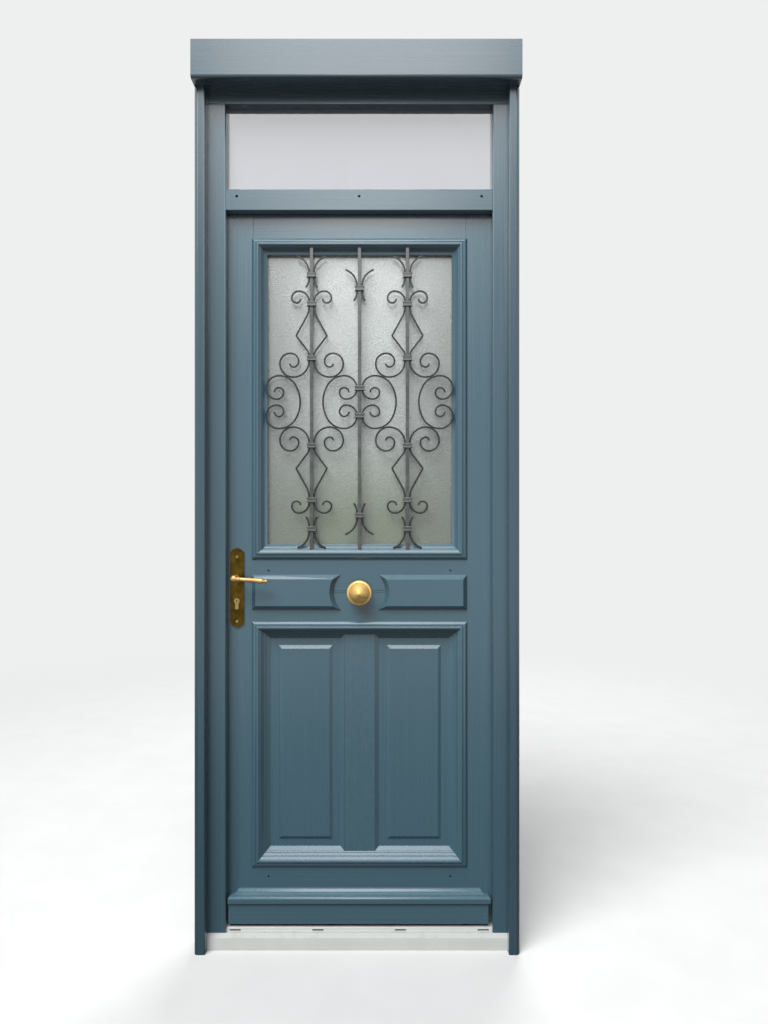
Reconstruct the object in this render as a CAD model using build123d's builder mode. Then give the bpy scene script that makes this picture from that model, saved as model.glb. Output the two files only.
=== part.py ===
"""Panelled front door in its frame: opens inwards, hinged on the right as seen from outside."""

import os
from math import asin, cos, degrees, radians, sin

from build123d import *

os.makedirs("parts", exist_ok=True)

# Axes: X runs to the right seen from outside, Y into the house, Z up.
# The origin is on the underside of the threshold, on the centre line, in the plane of the frame's face.

# Frame
frame_depth = 90.0
stop_depth = 28.0
clear_width = 784.0
jamb_width = 66.0
rebate = 15.0
jamb_arris = 3.0
head_height = 66.0
transom_underside = 2169.0
transom_height = 63.0
light_height = 249.0
transom_drain_radius = 4.0
transom_drain_inset = 32.0
transom_drain_rise = 42.0
transom_drain_depth = 12.0

# Cover strips and cover board
strip_width = 32.0
strip_projection = 36.0
strip_round = 11.0
lock_strip_lap = 12.5
hinge_strip_lap = 23.3
cover_board_projection = 76.0
cover_board_height = 110.0
cover_board_head_lap = 29.5
cover_board_round = 9.0

# Threshold
threshold_shelf = 45.0
threshold_nose = 12.0
threshold_nose_height = 36.0
threshold_riser = 13.0
threshold_riser_setback = 8.0
threshold_wall = 3.0
threshold_webs = 2
drain_slot_length = 33.0
drain_slot_height = 5.0
drain_slot_pitch = 244.0
drain_slot_count = 4
drain_slot_rise = 1.5

# Leaf
leaf_thickness = 58.0
seal_gap = 4.0
side_gap = 4.0
top_gap = 3.0
bottom_gap = 4.0
stile_width = 86.0
bottom_rail_height = 167.5
panel_opening_height = 723.5
mid_rail_height = 192.0
top_rail_height = 87.0
tenon_length = 18.0
tenon_thickness = 18.0
tenon_shoulder = 20.0

# Mouldings planted round the window and the panels
moulding_width = 41.5
moulding_lap = 4.0
moulding_fillet = 5.0
moulding_proud = 12.0
crest_width = 9.0
quirk = 1.5
moulding_inner_lip = 10.0

# Raised panels and muntin
muntin_width = 91.0
panel_setback = 12.0
panel_thickness = 30.0
tongue_length = 10.0
tongue_thickness = 12.0
tongue_play = 0.2
panel_splay_width = 12.0
panel_splay_depth = 8.0
field_side_margin = 23.5
field_end_margin = 21.0
field_bevel = 10.0
field_height = 6.0

# Glazing
pane_thickness = 4.0
pane_space = 14.0
pane_edge_gap = 3.0
spacer_width = 12.0
bead_depth = 18.0
bead_bevel = 5.0
seal_width = 9.0
running_gap = 0.3

# Rail blocks, weatherboard and the rail's drain holes
rail_axis_rise = 91.5
block_height = 104.0
block_thickness = 15.0
block_bevel = 12.0
block_outer_inset = 1.0
knob_clear_radius = 77.0
score_width = 9.0
score_depth = 1.5
score_bead = 4.0
drip_top_rise = 101.0
drip_height = 33.0
drip_projection = 32.0
plinth_thickness = 26.0
plinth_bottom_rise = 5.0
drip_lock_clearance = 5.0
drip_hinge_clearance = 5.0
plinth_lock_clearance = 6.0
plinth_hinge_clearance = 11.0
leaf_drain_radius = 3.25
leaf_drain_depth = 12.0
leaf_drain_offset = 271.0
mid_drain_drop = 37.0
bottom_drain_drop = 33.5

# Grille
bar_size = 10.0
grille_setback = 1.0
grille_drop = 9.0
scrollwork_half_width = 255.6
scrollwork_side_play = 1.1
scrollwork_end_play = 2.0
bar_socket_depth = 13.5
rod_size = 5.0
rod_play = 0.1
rod_run = 8.0
rod_end_gap = 0.5
collar_wall = 3.0
collar_height = 15.0
collar_waist = 1.0
outer_collar_height = 369.5
middle_collar_height = 283.5
inner_collar_height = 121.5
centre_spray_height = 329.5
spray_reach = 34.9
spray_rise = 48.5
leaf_reach = 9.7
leaf_drop = 27.5
fleur_radii = (30.5, 21.0, 14.0, 12.0)
curl_radii = (46.9, 40.0, 31.0, 25.0, 16.0, 10.0)
lozenge_reach = 38.4
lozenge_height = 198.0
lozenge_top_elbow = 15.5
lozenge_bottom_elbow = 16.9
lozenge_radii = (60.0, 4.0, 25.0)
scroll_start = 26.4
scroll_bow_radius = 100.0
scroll_bow_angle = 30.0
scroll_shoulder_radius = 57.7
scroll_radii = (38.0, 32.0, 20.0, 14.0, 14.0)

# Knob
knob_radius = 36.5
knob_rim = 6.0
knob_neck_radius = 12.0
knob_neck_length = 22.0
knob_length = 74.0
knob_rose_radius = 22.0
knob_rose_thickness = 4.0
knob_bolt_radius = 4.0
knob_bolt_head_radius = 9.0
knob_bolt_head = 4.0
knob_bolt_engagement = 24.0

# Lock furniture
backset = 38.5
lever_rise = 1026.0
cylinder_drop = 70.0
plate_width = 41.0
plate_thickness = 5.0
plate_above_lever = 88.0
plate_below_lever = 149.0
plate_shoulder = 12.0
plate_step = 2.5
plate_rim = 3.0
lever_collar_radius = 11.0
lever_collar_height = 2.5
plate_sink = 1.0
plate_screw_above = 61.0
plate_screw_below = 131.0
plate_screw_radius = 2.5
plate_screw_head_radius = 4.5
plate_screw_head = 2.0
lever_projection = 57.0
lever_neck_radius = 7.5
lever_length = 100.0
lever_droop = 4.5
lever_throat_radius = 4.5
lever_grip_radius = 8.25
lever_button_radius = 4.2
neck_running_gap = 0.05
spindle_size = 8.0
spindle_play = 0.05
spindle_insertion = 40.0

# Mortice lock
case_height = 150.0
case_above_lever = 47.0
case_depth = 62.0
case_thickness = 16.0
case_wall = 1.5
forend_height = 235.0
forend_width = 20.0
forend_thickness = 3.0
forend_screw_inset = 9.0
wood_screw_radius = 2.0
wood_screw_head_radius = 3.8
wood_screw_head = 2.0
wood_screw_length = 25.0
follower_radius = 7.0
follower_flange_radius = 9.5
follower_flange = 8.0
latch_above_lever = 24.0
latch_height = 24.0
latch_thickness = 13.0
latch_throw = 12.0
latch_length = 50.0
latch_tail_height = 10.0
latch_tail_thickness = 8.0
latch_head_length = 20.0
dead_bolt_below_lever = 36.0
dead_bolt_height = 34.0
dead_bolt_thickness = 14.0
dead_bolt_throw = 20.0
dead_bolt_length = 38.0
cylinder_radius = 8.5
cylinder_leg_width = 10.0
cylinder_height = 33.0
cylinder_proud = 2.5
plug_radius = 6.5
plug_running_gap = 0.05
cam_width = 9.4
cam_slot_width = 10.0
cam_radius = 15.0
cam_clear_radius = 17.0
cam_tail_width = 7.0
key_slot_width = 2.5
key_slot_height = 8.0
key_slot_depth = 12.0

# Keeps in the lock jamb
strike_height = 200.0
strike_width = 24.0
strike_thickness = 2.0
keep_clearance = 1.5
latch_keep_depth = 20.0
bolt_keep_extra = 4.0

# Hinges
hinge_count = 4
hinge_foot_inset = 218.0
hinge_top_inset = 191.0
knuckle_radius = 8.0
knuckle_length = 50.0
knuckle_standoff = 1.0
pin_radius = 4.0
pin_running_gap = 0.05
pin_length = 38.0
washer_thickness = 1.5
shank_radius = 4.0
shank_length = 45.0
shank_inset = 13.0
shank_spacing = 24.0
drill_play = 0.1

# Lug holes on the backs of the jambs
lug_hole_radius = 2.5
lug_hole_depth = 30.0
lug_hole_back = 30.0
lug_foot_inset = 450.0
lug_head_inset = 431.0

# Places worked out from the sizes above
half_clear = clear_width / 2
half_frame = half_clear + jamb_width
half_rebate = half_clear + rebate
head_underside = transom_underside + transom_height + light_height
frame_top = head_underside + head_height
threshold_top = threshold_shelf + threshold_riser
leaf_face = stop_depth + seal_gap
leaf_back = leaf_face + leaf_thickness
leaf_middle = leaf_face + leaf_thickness / 2
half_leaf = half_rebate - side_gap
leaf_bottom = threshold_top + bottom_gap
leaf_top = transom_underside + rebate - top_gap
half_opening = half_leaf - stile_width
panel_opening_bottom = leaf_bottom + bottom_rail_height
panel_opening_top = panel_opening_bottom + panel_opening_height
window_bottom = panel_opening_top + mid_rail_height
window_top = leaf_top - top_rail_height
unit_thickness = 2 * pane_thickness + pane_space
window_pane_face = leaf_back - bead_depth / 2 - unit_thickness - 1.0
window_bead_depth = leaf_back - window_pane_face - unit_thickness
panel_face = leaf_face + panel_setback
moulding_inset = moulding_width - moulding_lap
rail_axis = panel_opening_top + rail_axis_rise
lever_x = -half_leaf + backset
lever_z = leaf_bottom + lever_rise
cylinder_z = lever_z - cylinder_drop
latch_z = lever_z + latch_above_lever
dead_bolt_z = lever_z - dead_bolt_below_lever
plate_face = leaf_face - plate_thickness
hinge_x = half_leaf + side_gap / 2
hinge_y = leaf_back + knuckle_radius + knuckle_standoff
hinge_pitch = (leaf_top - leaf_bottom - hinge_foot_inset - hinge_top_inset) / (hinge_count - 1)
hinge_rises = [hinge_foot_inset + number * hinge_pitch for number in range(hinge_count)]
grille_y = leaf_face + grille_setback
grille_z = (window_bottom + window_top) / 2 - grille_drop
rod_offset = bar_size / 2 + rod_size / 2 + rod_play
collar_lead = rod_run + rod_end_gap
seen_half_width = half_opening - moulding_inset
seen_half_height = (window_top - window_bottom) / 2 - moulding_inset
width_scale = (seen_half_width - scrollwork_side_play - 3 * rod_offset) / scrollwork_half_width
scrollwork_half_height = outer_collar_height + spray_rise
height_scale = (seen_half_height - scrollwork_end_play - 2 * collar_lead) / scrollwork_half_height
grille_scale = min(width_scale, height_scale)
scroll_width = (scroll_start + scroll_bow_radius * (1 - cos(radians(scroll_bow_angle)))
                + scroll_shoulder_radius * cos(radians(scroll_bow_angle)) + scroll_radii[0])
bar_spacing = 2 * rod_offset + scroll_width * grille_scale
outer_collar_rise = collar_lead + outer_collar_height * grille_scale
middle_collar_rise = collar_lead + middle_collar_height * grille_scale
inner_collar_rise = collar_lead + inner_collar_height * grille_scale
centre_spray_rise = collar_lead + centre_spray_height * grille_scale

facing_out = Plane(origin=(0, 0, 0), x_dir=(1, 0, 0), z_dir=(0, -1, 0))


def keep(piece: BuildPart, label: str) -> None:
    """Label a finished piece and write it under the same name."""
    piece.part.label = label
    export_step(piece.part, f"parts/{label}.step")


def span(x_low, x_high, y_low, y_high, z_low, z_high, mode=Mode.ADD) -> None:
    """Add or cut a straight length of material between two corners in the open part."""
    middle = ((x_low + x_high) / 2, (y_low + y_high) / 2, (z_low + z_high) / 2)
    with Locations(middle):
        Box(x_high - x_low, y_high - y_low, z_high - z_low, mode=mode)


def rod_y(x, z, y_low, y_high, radius, mode=Mode.ADD) -> None:
    """Add or cut a round length along Y in the open part."""
    with BuildSketch(facing_out.offset(-y_low)) as disc:
        with Locations((x, z)):
            Circle(radius)
    extrude(disc.sketch, amount=y_low - y_high, mode=mode)


def rod_x(y, z, x_low, x_high, radius, mode=Mode.ADD) -> None:
    """Add or cut a round length along X in the open part."""
    with BuildSketch(Plane.YZ.offset(x_low)) as disc:
        with Locations((y, z)):
            Circle(radius)
    extrude(disc.sketch, amount=x_high - x_low, mode=mode)


# Jambs, head and transom bar
def jamb_section(side: int) -> None:
    """Draw a jamb's section: a stop in front, a rebate for the leaf behind it."""
    with BuildLine() as outline:
        Polyline(
            (side * half_clear, 0),
            (side * half_frame, 0),
            (side * half_frame, frame_depth),
            (side * half_rebate, frame_depth),
            (side * half_rebate, stop_depth),
            (side * half_clear, stop_depth),
            close=True,
        )
    make_face(outline.edges())


def lug_holes(side: int) -> None:
    """Cut the two pilot holes for the wall lugs in the back of a jamb."""
    outer = side * half_frame
    inner = side * (half_frame - lug_hole_depth)
    for height in (lug_foot_inset, head_underside - lug_head_inset):
        rod_x(frame_depth - lug_hole_back, height, min(outer, inner), max(outer, inner),
              lug_hole_radius, Mode.SUBTRACT)


def euro_outline(grow: float) -> None:
    """Draw the keyhole outline of a profile cylinder, grown by a clearance."""
    leg = cylinder_height - cylinder_radius
    with Locations((lever_x, cylinder_z)):
        Circle(cylinder_radius + grow)
        with Locations((0, -leg / 2 - grow / 2)):
            Rectangle(cylinder_leg_width + 2 * grow, leg + grow)


def hinge_shanks(side: int, rise: float, radius: float, mode: Mode) -> None:
    """Add or cut the two slanted shanks of one hinge half, on the frame (1) or leaf (-1) side."""
    low = leaf_bottom + rise + (side < 0) * (shank_inset + washer_thickness)
    low -= (side > 0) * (shank_inset + shank_spacing + washer_thickness)
    for height in (low, low + shank_spacing):
        with BuildSketch(Plane(origin=(hinge_x, hinge_y, height), z_dir=(side, -1, 0))) as disc:
            Circle(radius)
        extrude(disc.sketch, amount=shank_length, mode=mode)


with BuildPart() as lock_jamb:
    with BuildSketch(Plane.XY.offset(threshold_shelf)) as section:
        jamb_section(-1)
        fillet(section.vertices().group_by(Axis.Y)[0], jamb_arris)
    extrude(amount=head_underside - threshold_shelf)
    lug_holes(-1)
    keep_back = -half_rebate - latch_keep_depth
    span(keep_back, -half_rebate, leaf_middle - latch_thickness / 2 - keep_clearance, frame_depth,
         latch_z - latch_height / 2 - keep_clearance, latch_z + latch_height / 2 + keep_clearance,
         Mode.SUBTRACT)
    bolt_keep_x = -half_leaf - dead_bolt_throw - bolt_keep_extra
    span(bolt_keep_x, -half_rebate, leaf_middle - dead_bolt_thickness / 2 - keep_clearance,
         leaf_middle + dead_bolt_thickness / 2 + keep_clearance,
         dead_bolt_z - dead_bolt_height / 2 - keep_clearance,
         dead_bolt_z + dead_bolt_height / 2 + keep_clearance, Mode.SUBTRACT)
    strike_low = (latch_z + dead_bolt_z) / 2 - strike_height / 2
    strike_high = strike_low + strike_height
    span(-half_rebate - strike_thickness, -half_rebate, leaf_middle - strike_width / 2,
         leaf_middle + strike_width / 2, strike_low, strike_high, Mode.SUBTRACT)
    for screw_z in (strike_low + forend_screw_inset, strike_high - forend_screw_inset):
        rod_x(leaf_middle, screw_z, -half_rebate - wood_screw_length, -half_rebate,
              wood_screw_radius + drill_play, Mode.SUBTRACT)
keep(lock_jamb, "lock_jamb")

with BuildPart() as hinge_jamb:
    with BuildSketch(Plane.XY.offset(threshold_shelf)) as section:
        jamb_section(1)
        fillet(section.vertices().group_by(Axis.Y)[0], jamb_arris)
    extrude(amount=head_underside - threshold_shelf)
    lug_holes(1)
    for rise in hinge_rises:
        hinge_shanks(1, rise, shank_radius + drill_play, Mode.SUBTRACT)
keep(hinge_jamb, "hinge_jamb")

with BuildPart() as frame_head:
    with BuildSketch(Plane.YZ.offset(-half_frame)) as section:
        with Locations((frame_depth / 2, head_underside + head_height / 2)):
            Rectangle(frame_depth, head_height)
        fillet(section.vertices().group_by(Axis.X)[0].sort_by(Axis.Y)[0], jamb_arris)
    extrude(amount=2 * half_frame)
    span(-half_rebate, half_rebate, stop_depth, frame_depth, head_underside,
         head_underside + rebate, Mode.SUBTRACT)
keep(frame_head, "frame_head")

transom_top = transom_underside + transom_height
with BuildPart() as transom_bar:
    with BuildSketch(Plane.YZ.offset(-half_rebate)) as section:
        with BuildLine():
            Polyline(
                (0, transom_underside),
                (stop_depth, transom_underside),
                (stop_depth, transom_underside + rebate),
                (frame_depth, transom_underside + rebate),
                (frame_depth, transom_top - rebate),
                (stop_depth, transom_top - rebate),
                (stop_depth, transom_top),
                (0, transom_top),
                close=True,
            )
        make_face()
        fillet(section.vertices().group_by(Axis.X)[0], jamb_arris)
    extrude(amount=2 * half_rebate)
    for side in (-1, 1):
        with Locations((side * (half_clear + rebate / 2), stop_depth / 2, transom_top - transom_height / 2)):
            Box(rebate, stop_depth, transom_height, mode=Mode.SUBTRACT)
    for drain_x in (-half_clear + transom_drain_inset, 0, half_clear - transom_drain_inset):
        rod_y(drain_x, transom_underside + transom_drain_rise, 0, transom_drain_depth,
              transom_drain_radius, Mode.SUBTRACT)
keep(transom_bar, "transom_bar")


# Threshold: an extrusion with open chambers and drain slots in its riser
strip_low_x = -half_frame + lock_strip_lap
strip_high_x = half_frame - hinge_strip_lap
with BuildPart() as threshold:
    with BuildSketch(Plane.YZ.offset(strip_low_x)):
        with BuildLine():
            Polyline(
                (-threshold_nose, 0),
                (frame_depth, 0),
                (frame_depth, threshold_shelf),
                (0, threshold_shelf),
                (-threshold_nose, threshold_nose_height),
                close=True,
            )
        make_face()
    extrude(amount=strip_high_x - strip_low_x)
    span(-half_clear, half_clear, threshold_riser_setback, frame_depth, threshold_shelf, threshold_top)
    riser_edges = threshold.edges().filter_by(Axis.X).group_by(Axis.Z)[-1].sort_by(Axis.Y)
    fillet(riser_edges[0], 2.0)
    chamber_width = (frame_depth - threshold_riser_setback - threshold_wall * (threshold_webs + 1))
    chamber_width /= threshold_webs
    chamber_low = threshold_riser_setback + threshold_wall
    for web in range(threshold_webs):
        chamber_start = chamber_low + web * (chamber_width + threshold_wall)
        span(strip_low_x, strip_high_x, chamber_start, chamber_start + chamber_width, threshold_wall,
             threshold_shelf - threshold_wall, Mode.SUBTRACT)
    span(-half_clear + threshold_wall, half_clear - threshold_wall, chamber_low,
         frame_depth - threshold_wall, threshold_shelf, threshold_top - threshold_wall, Mode.SUBTRACT)
    slot_centre = (0, threshold_riser_setback, threshold_shelf + drain_slot_rise + drain_slot_height / 2)
    with Locations(Plane(origin=slot_centre, x_dir=(1, 0, 0), z_dir=(0, -1, 0))):
        with GridLocations(drain_slot_pitch, 1, drain_slot_count, 1):
            Box(drain_slot_length, drain_slot_height, 3 * threshold_wall, mode=Mode.SUBTRACT)
keep(threshold, "threshold")


# Cover strips and cover board
def cover_strip(x_low: float, outer_side: int) -> BuildPart:
    """Make one upright strip that laps the jamb's face, rounded on its outer front corner."""
    with BuildPart() as strip:
        with BuildSketch() as section:
            with Locations((x_low + strip_width / 2, -strip_projection / 2)):
                Rectangle(strip_width, strip_projection)
            front = section.vertices().group_by(Axis.Y)[0].sort_by(Axis.X)
            fillet(front[0 if outer_side < 0 else -1], strip_round)
            fillet(section.vertices().group_by(Axis.Y)[0].sort_by(Axis.X)[-1 if outer_side < 0 else 0],
                   jamb_arris)
        extrude(amount=cover_board_soffit)
    return strip


cover_board_soffit = frame_top - cover_board_head_lap
lock_side_cover_strip = cover_strip(strip_low_x - strip_width, -1)
keep(lock_side_cover_strip, "lock_side_cover_strip")
hinge_side_cover_strip = cover_strip(strip_high_x, 1)
keep(hinge_side_cover_strip, "hinge_side_cover_strip")

with BuildPart() as head_cover_board:
    with BuildSketch(Plane.YZ.offset(strip_low_x - strip_width)) as section:
        with Locations((-cover_board_projection / 2, cover_board_soffit + cover_board_height / 2)):
            Rectangle(cover_board_projection, cover_board_height)
        fillet(section.vertices().group_by(Axis.X)[0].sort_by(Axis.Y)[0], cover_board_round)
    extrude(amount=strip_high_x - strip_low_x + 2 * strip_width)
keep(head_cover_board, "head_cover_board")


# Glazing: two panes with a spacer between them
def pane(half_width, low, high, face) -> BuildPart:
    """Make one flat pane whose outer face lies at the given depth."""
    with BuildPart() as sheet:
        span(-half_width, half_width, face, face + pane_thickness, low, high)
    return sheet


def pane_spacer(half_width, low, high, face) -> BuildPart:
    """Make the hollow-framed bar that keeps two panes apart."""
    with BuildPart() as ring:
        span(-half_width, half_width, face, face + pane_space, low, high)
        span(-half_width + spacer_width, half_width - spacer_width, face, face + pane_space,
             low + spacer_width, high - spacer_width, Mode.SUBTRACT)
    return ring


def glazing_beads(half_width, low, high, width, face, depth) -> BuildPart:
    """Make four beads, bevelled on the room side, round an opening of the given half width."""
    bevel = min(bead_bevel, depth / 2)
    with BuildPart() as beads:
        for edge_low, edge_high in ((low, low + width), (high - width, high)):
            span(-half_width, half_width, face, face + depth, edge_low, edge_high)
        for side in (-1, 1):
            inner, outer = sorted((side * half_width, side * (half_width - width)))
            span(inner, outer, face, face + depth, low + width, high - width)
        back_edges = beads.edges().filter_by_position(Axis.Y, face + depth - 0.01, face + depth + 0.01)
        inner_x = half_width - width
        along_x = [e for e in back_edges.filter_by(Axis.X)
                   if abs(e.center().Z - low - width) < 0.01 or abs(e.center().Z - high + width) < 0.01]
        along_z = [e for e in back_edges.filter_by(Axis.Z) if abs(abs(e.center().X) - inner_x) < 0.01]
        chamfer(along_x + along_z, bevel)
    return beads


light_low = transom_top - rebate + pane_edge_gap
light_high = head_underside + rebate - pane_edge_gap
light_half = half_rebate - pane_edge_gap
transom_outer_pane = pane(light_half, light_low, light_high, stop_depth)
keep(transom_outer_pane, "transom_outer_pane")
transom_spacer = pane_spacer(light_half, light_low, light_high, stop_depth + pane_thickness)
keep(transom_spacer, "transom_spacer")
transom_inner_pane = pane(light_half, light_low, light_high, stop_depth + pane_thickness + pane_space)
keep(transom_inner_pane, "transom_inner_pane")
transom_beads = glazing_beads(half_rebate, transom_top - rebate, head_underside + rebate, rebate,
                              stop_depth + unit_thickness, bead_depth)
keep(transom_beads, "transom_beads")

# Seals on the stops and on the threshold, which the shut leaf closes against
with BuildPart() as frame_seal:
    seal_face = leaf_face - running_gap
    seal_outer = half_leaf - 1.0
    for side in (-1, 1):
        inner, outer = sorted((side * seal_outer, side * (seal_outer - seal_width)))
        span(inner, outer, stop_depth, seal_face, threshold_top, transom_underside)
    seal_low = transom_underside + 2.0
    span(-seal_outer, seal_outer, stop_depth, seal_face, seal_low, seal_low + seal_width)
    span(-half_clear, half_clear, leaf_middle, leaf_middle + seal_width, threshold_top,
         leaf_bottom - running_gap)
keep(frame_seal, "frame_seal")

with BuildPart() as strike_plate:
    span(-half_rebate - strike_thickness, -half_rebate, leaf_middle - strike_width / 2,
         leaf_middle + strike_width / 2, strike_low, strike_high)
    span(-half_rebate - strike_thickness, -half_rebate, leaf_middle - latch_thickness / 2 - keep_clearance,
         leaf_middle + strike_width, latch_z - latch_height / 2 - keep_clearance,
         latch_z + latch_height / 2 + keep_clearance, Mode.SUBTRACT)
    span(-half_rebate - strike_thickness, -half_rebate,
         leaf_middle - dead_bolt_thickness / 2 - keep_clearance,
         leaf_middle + dead_bolt_thickness / 2 + keep_clearance,
         dead_bolt_z - dead_bolt_height / 2 - keep_clearance,
         dead_bolt_z + dead_bolt_height / 2 + keep_clearance, Mode.SUBTRACT)
    for screw_z in (strike_low + forend_screw_inset, strike_high - forend_screw_inset):
        rod_x(leaf_middle, screw_z, -half_rebate - strike_thickness, -half_rebate,
              wood_screw_head_radius, Mode.SUBTRACT)
keep(strike_plate, "strike_plate")


def wood_screw(tip_x: float, head_x: float, height: float) -> None:
    """Add one countersunk wood screw along X in the open part, its head flush at head_x."""
    towards = 1 if head_x > tip_x else -1
    with BuildSketch(Plane(origin=(0, leaf_middle, height), x_dir=(1, 0, 0), z_dir=(0, 0, 1))) as half:
        with BuildLine():
            Polyline(
                (tip_x, 0),
                (tip_x + towards * 4 * wood_screw_radius, wood_screw_radius),
                (head_x - towards * wood_screw_head, wood_screw_radius),
                (head_x, wood_screw_head_radius),
                (head_x, 0),
                close=True,
            )
        make_face()
    revolve(half.sketch, axis=Axis((0, leaf_middle, height), (1, 0, 0)))


with BuildPart() as strike_screws:
    for screw_z in (strike_low + forend_screw_inset, strike_high - forend_screw_inset):
        wood_screw(-half_rebate - wood_screw_length + 1.0, -half_rebate, screw_z)
keep(strike_screws, "strike_screws")


# Hinges: each has a lower half with the pin, screwed to the frame, and an upper half on the leaf
def knuckle(low: float, high: float) -> None:
    """Add one round knuckle to the open part."""
    with Locations((hinge_x, hinge_y, (low + high) / 2)):
        Cylinder(knuckle_radius, high - low)


with BuildPart() as hinge_frame_knuckles:
    for rise in hinge_rises:
        joint_z = leaf_bottom + rise
        knuckle(joint_z - knuckle_length, joint_z - washer_thickness / 2)
        with Locations((hinge_x, hinge_y, joint_z + pin_length / 2 - washer_thickness)):
            Cylinder(pin_radius, pin_length + washer_thickness)
        hinge_shanks(1, rise, shank_radius, Mode.ADD)
    lower_rims = [e for e in hinge_frame_knuckles.edges().filter_by(GeomType.CIRCLE)
                  if abs(e.radius - knuckle_radius) < 0.01
                  and any(abs(e.center().Z - leaf_bottom - r + knuckle_length) < 0.01 for r in hinge_rises)]
    fillet(lower_rims, knuckle_radius / 2)
keep(hinge_frame_knuckles, "hinge_frame_knuckles")

with BuildPart() as hinge_washers:
    for rise in hinge_rises:
        with BuildSketch(Plane(origin=(hinge_x, hinge_y, leaf_bottom + rise - washer_thickness / 2))):
            Circle(knuckle_radius)
            Circle(pin_radius + pin_running_gap, mode=Mode.SUBTRACT)
        extrude(amount=washer_thickness)
keep(hinge_washers, "hinge_washers")

with BuildPart() as hinge_leaf_knuckles:
    for rise in hinge_rises:
        joint_z = leaf_bottom + rise
        knuckle_low = joint_z + washer_thickness / 2 + running_gap
        knuckle(knuckle_low, joint_z + knuckle_length)
        hinge_shanks(-1, rise, shank_radius, Mode.ADD)
        with BuildSketch(Plane(origin=(hinge_x, hinge_y, knuckle_low))):
            Circle(pin_radius + pin_running_gap)
        extrude(amount=pin_length + running_gap, mode=Mode.SUBTRACT)
    upper_rims = [e for e in hinge_leaf_knuckles.edges().filter_by(GeomType.CIRCLE)
                  if abs(e.radius - knuckle_radius) < 0.01
                  and any(abs(e.center().Z - leaf_bottom - r - knuckle_length) < 0.01 for r in hinge_rises)]
    fillet(upper_rims, knuckle_radius / 2)
keep(hinge_leaf_knuckles, "hinge_leaf_knuckles")


# Leaf framing: stiles with mortices and grooves, rails with tenons
groove_half = tongue_thickness / 2 + tongue_play
tongue_middle = panel_face + panel_thickness / 2
rails = {
    "bottom": (leaf_bottom, panel_opening_bottom),
    "mid": (panel_opening_top, window_bottom),
    "top": (window_top, leaf_top),
}


def stile(side: int) -> None:
    """Add one stile, with the rails' mortices and the panel groove, to the open part."""
    inner, outer = sorted((side * half_opening, side * half_leaf))
    span(inner, outer, leaf_face, leaf_back, leaf_bottom, leaf_top)
    for low, high in rails.values():
        near, far = sorted((side * half_opening, side * (half_opening + tenon_length)))
        span(near, far, leaf_middle - tenon_thickness / 2, leaf_middle + tenon_thickness / 2,
             low + tenon_shoulder, high - tenon_shoulder, Mode.SUBTRACT)
    near, far = sorted((side * half_opening, side * (half_opening + tongue_length + tongue_play)))
    span(near, far, tongue_middle - groove_half, tongue_middle + groove_half,
         panel_opening_bottom - tongue_length, panel_opening_top + tongue_length, Mode.SUBTRACT)


def rail(low: float, high: float) -> None:
    """Add one rail with its two tenons to the open part."""
    span(-half_opening, half_opening, leaf_face, leaf_back, low, high)
    tenon_half = half_opening + tenon_length
    span(-tenon_half, tenon_half, leaf_middle - tenon_thickness / 2, leaf_middle + tenon_thickness / 2,
         low + tenon_shoulder, high - tenon_shoulder)


def rail_groove(low: float, high: float) -> None:
    """Cut the panel groove between two heights in the open rail."""
    span(-half_opening, half_opening, tongue_middle - groove_half, tongue_middle + groove_half,
         low, high, Mode.SUBTRACT)


case_low = lever_z + case_above_lever - case_height
case_high = lever_z + case_above_lever
case_front = -half_leaf + forend_thickness
case_back = case_front + case_depth
forend_low = (case_low + case_high) / 2 - forend_height / 2
forend_high = forend_low + forend_height
forend_screw_heights = (forend_low + forend_screw_inset, forend_high - forend_screw_inset)
plate_screw_heights = (lever_z + plate_screw_above, lever_z - plate_screw_below)

with BuildPart() as lock_stile:
    stile(-1)
    span(-half_leaf, case_back, leaf_middle - case_thickness / 2, leaf_middle + case_thickness / 2,
         case_low, case_high, Mode.SUBTRACT)
    span(-half_leaf, case_front, leaf_middle - forend_width / 2, leaf_middle + forend_width / 2,
         forend_low, forend_high, Mode.SUBTRACT)
    for screw_z in forend_screw_heights:
        rod_x(leaf_middle, screw_z, case_front, case_front + wood_screw_length,
              wood_screw_radius + drill_play, Mode.SUBTRACT)
    rod_y(lever_x, lever_z, leaf_face, leaf_back, follower_flange_radius, Mode.SUBTRACT)
    for screw_z in plate_screw_heights:
        rod_y(lever_x, screw_z, leaf_face, leaf_back, plate_screw_radius + drill_play, Mode.SUBTRACT)
    with BuildSketch(facing_out.offset(-leaf_back)):
        euro_outline(running_gap)
    extrude(amount=leaf_thickness, mode=Mode.SUBTRACT)
keep(lock_stile, "lock_stile")

with BuildPart() as hinge_stile:
    stile(1)
    for rise in hinge_rises:
        hinge_shanks(-1, rise, shank_radius + drill_play, Mode.SUBTRACT)
keep(hinge_stile, "hinge_stile")

with BuildPart() as top_rail:
    rail(*rails["top"])
keep(top_rail, "top_rail")

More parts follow.
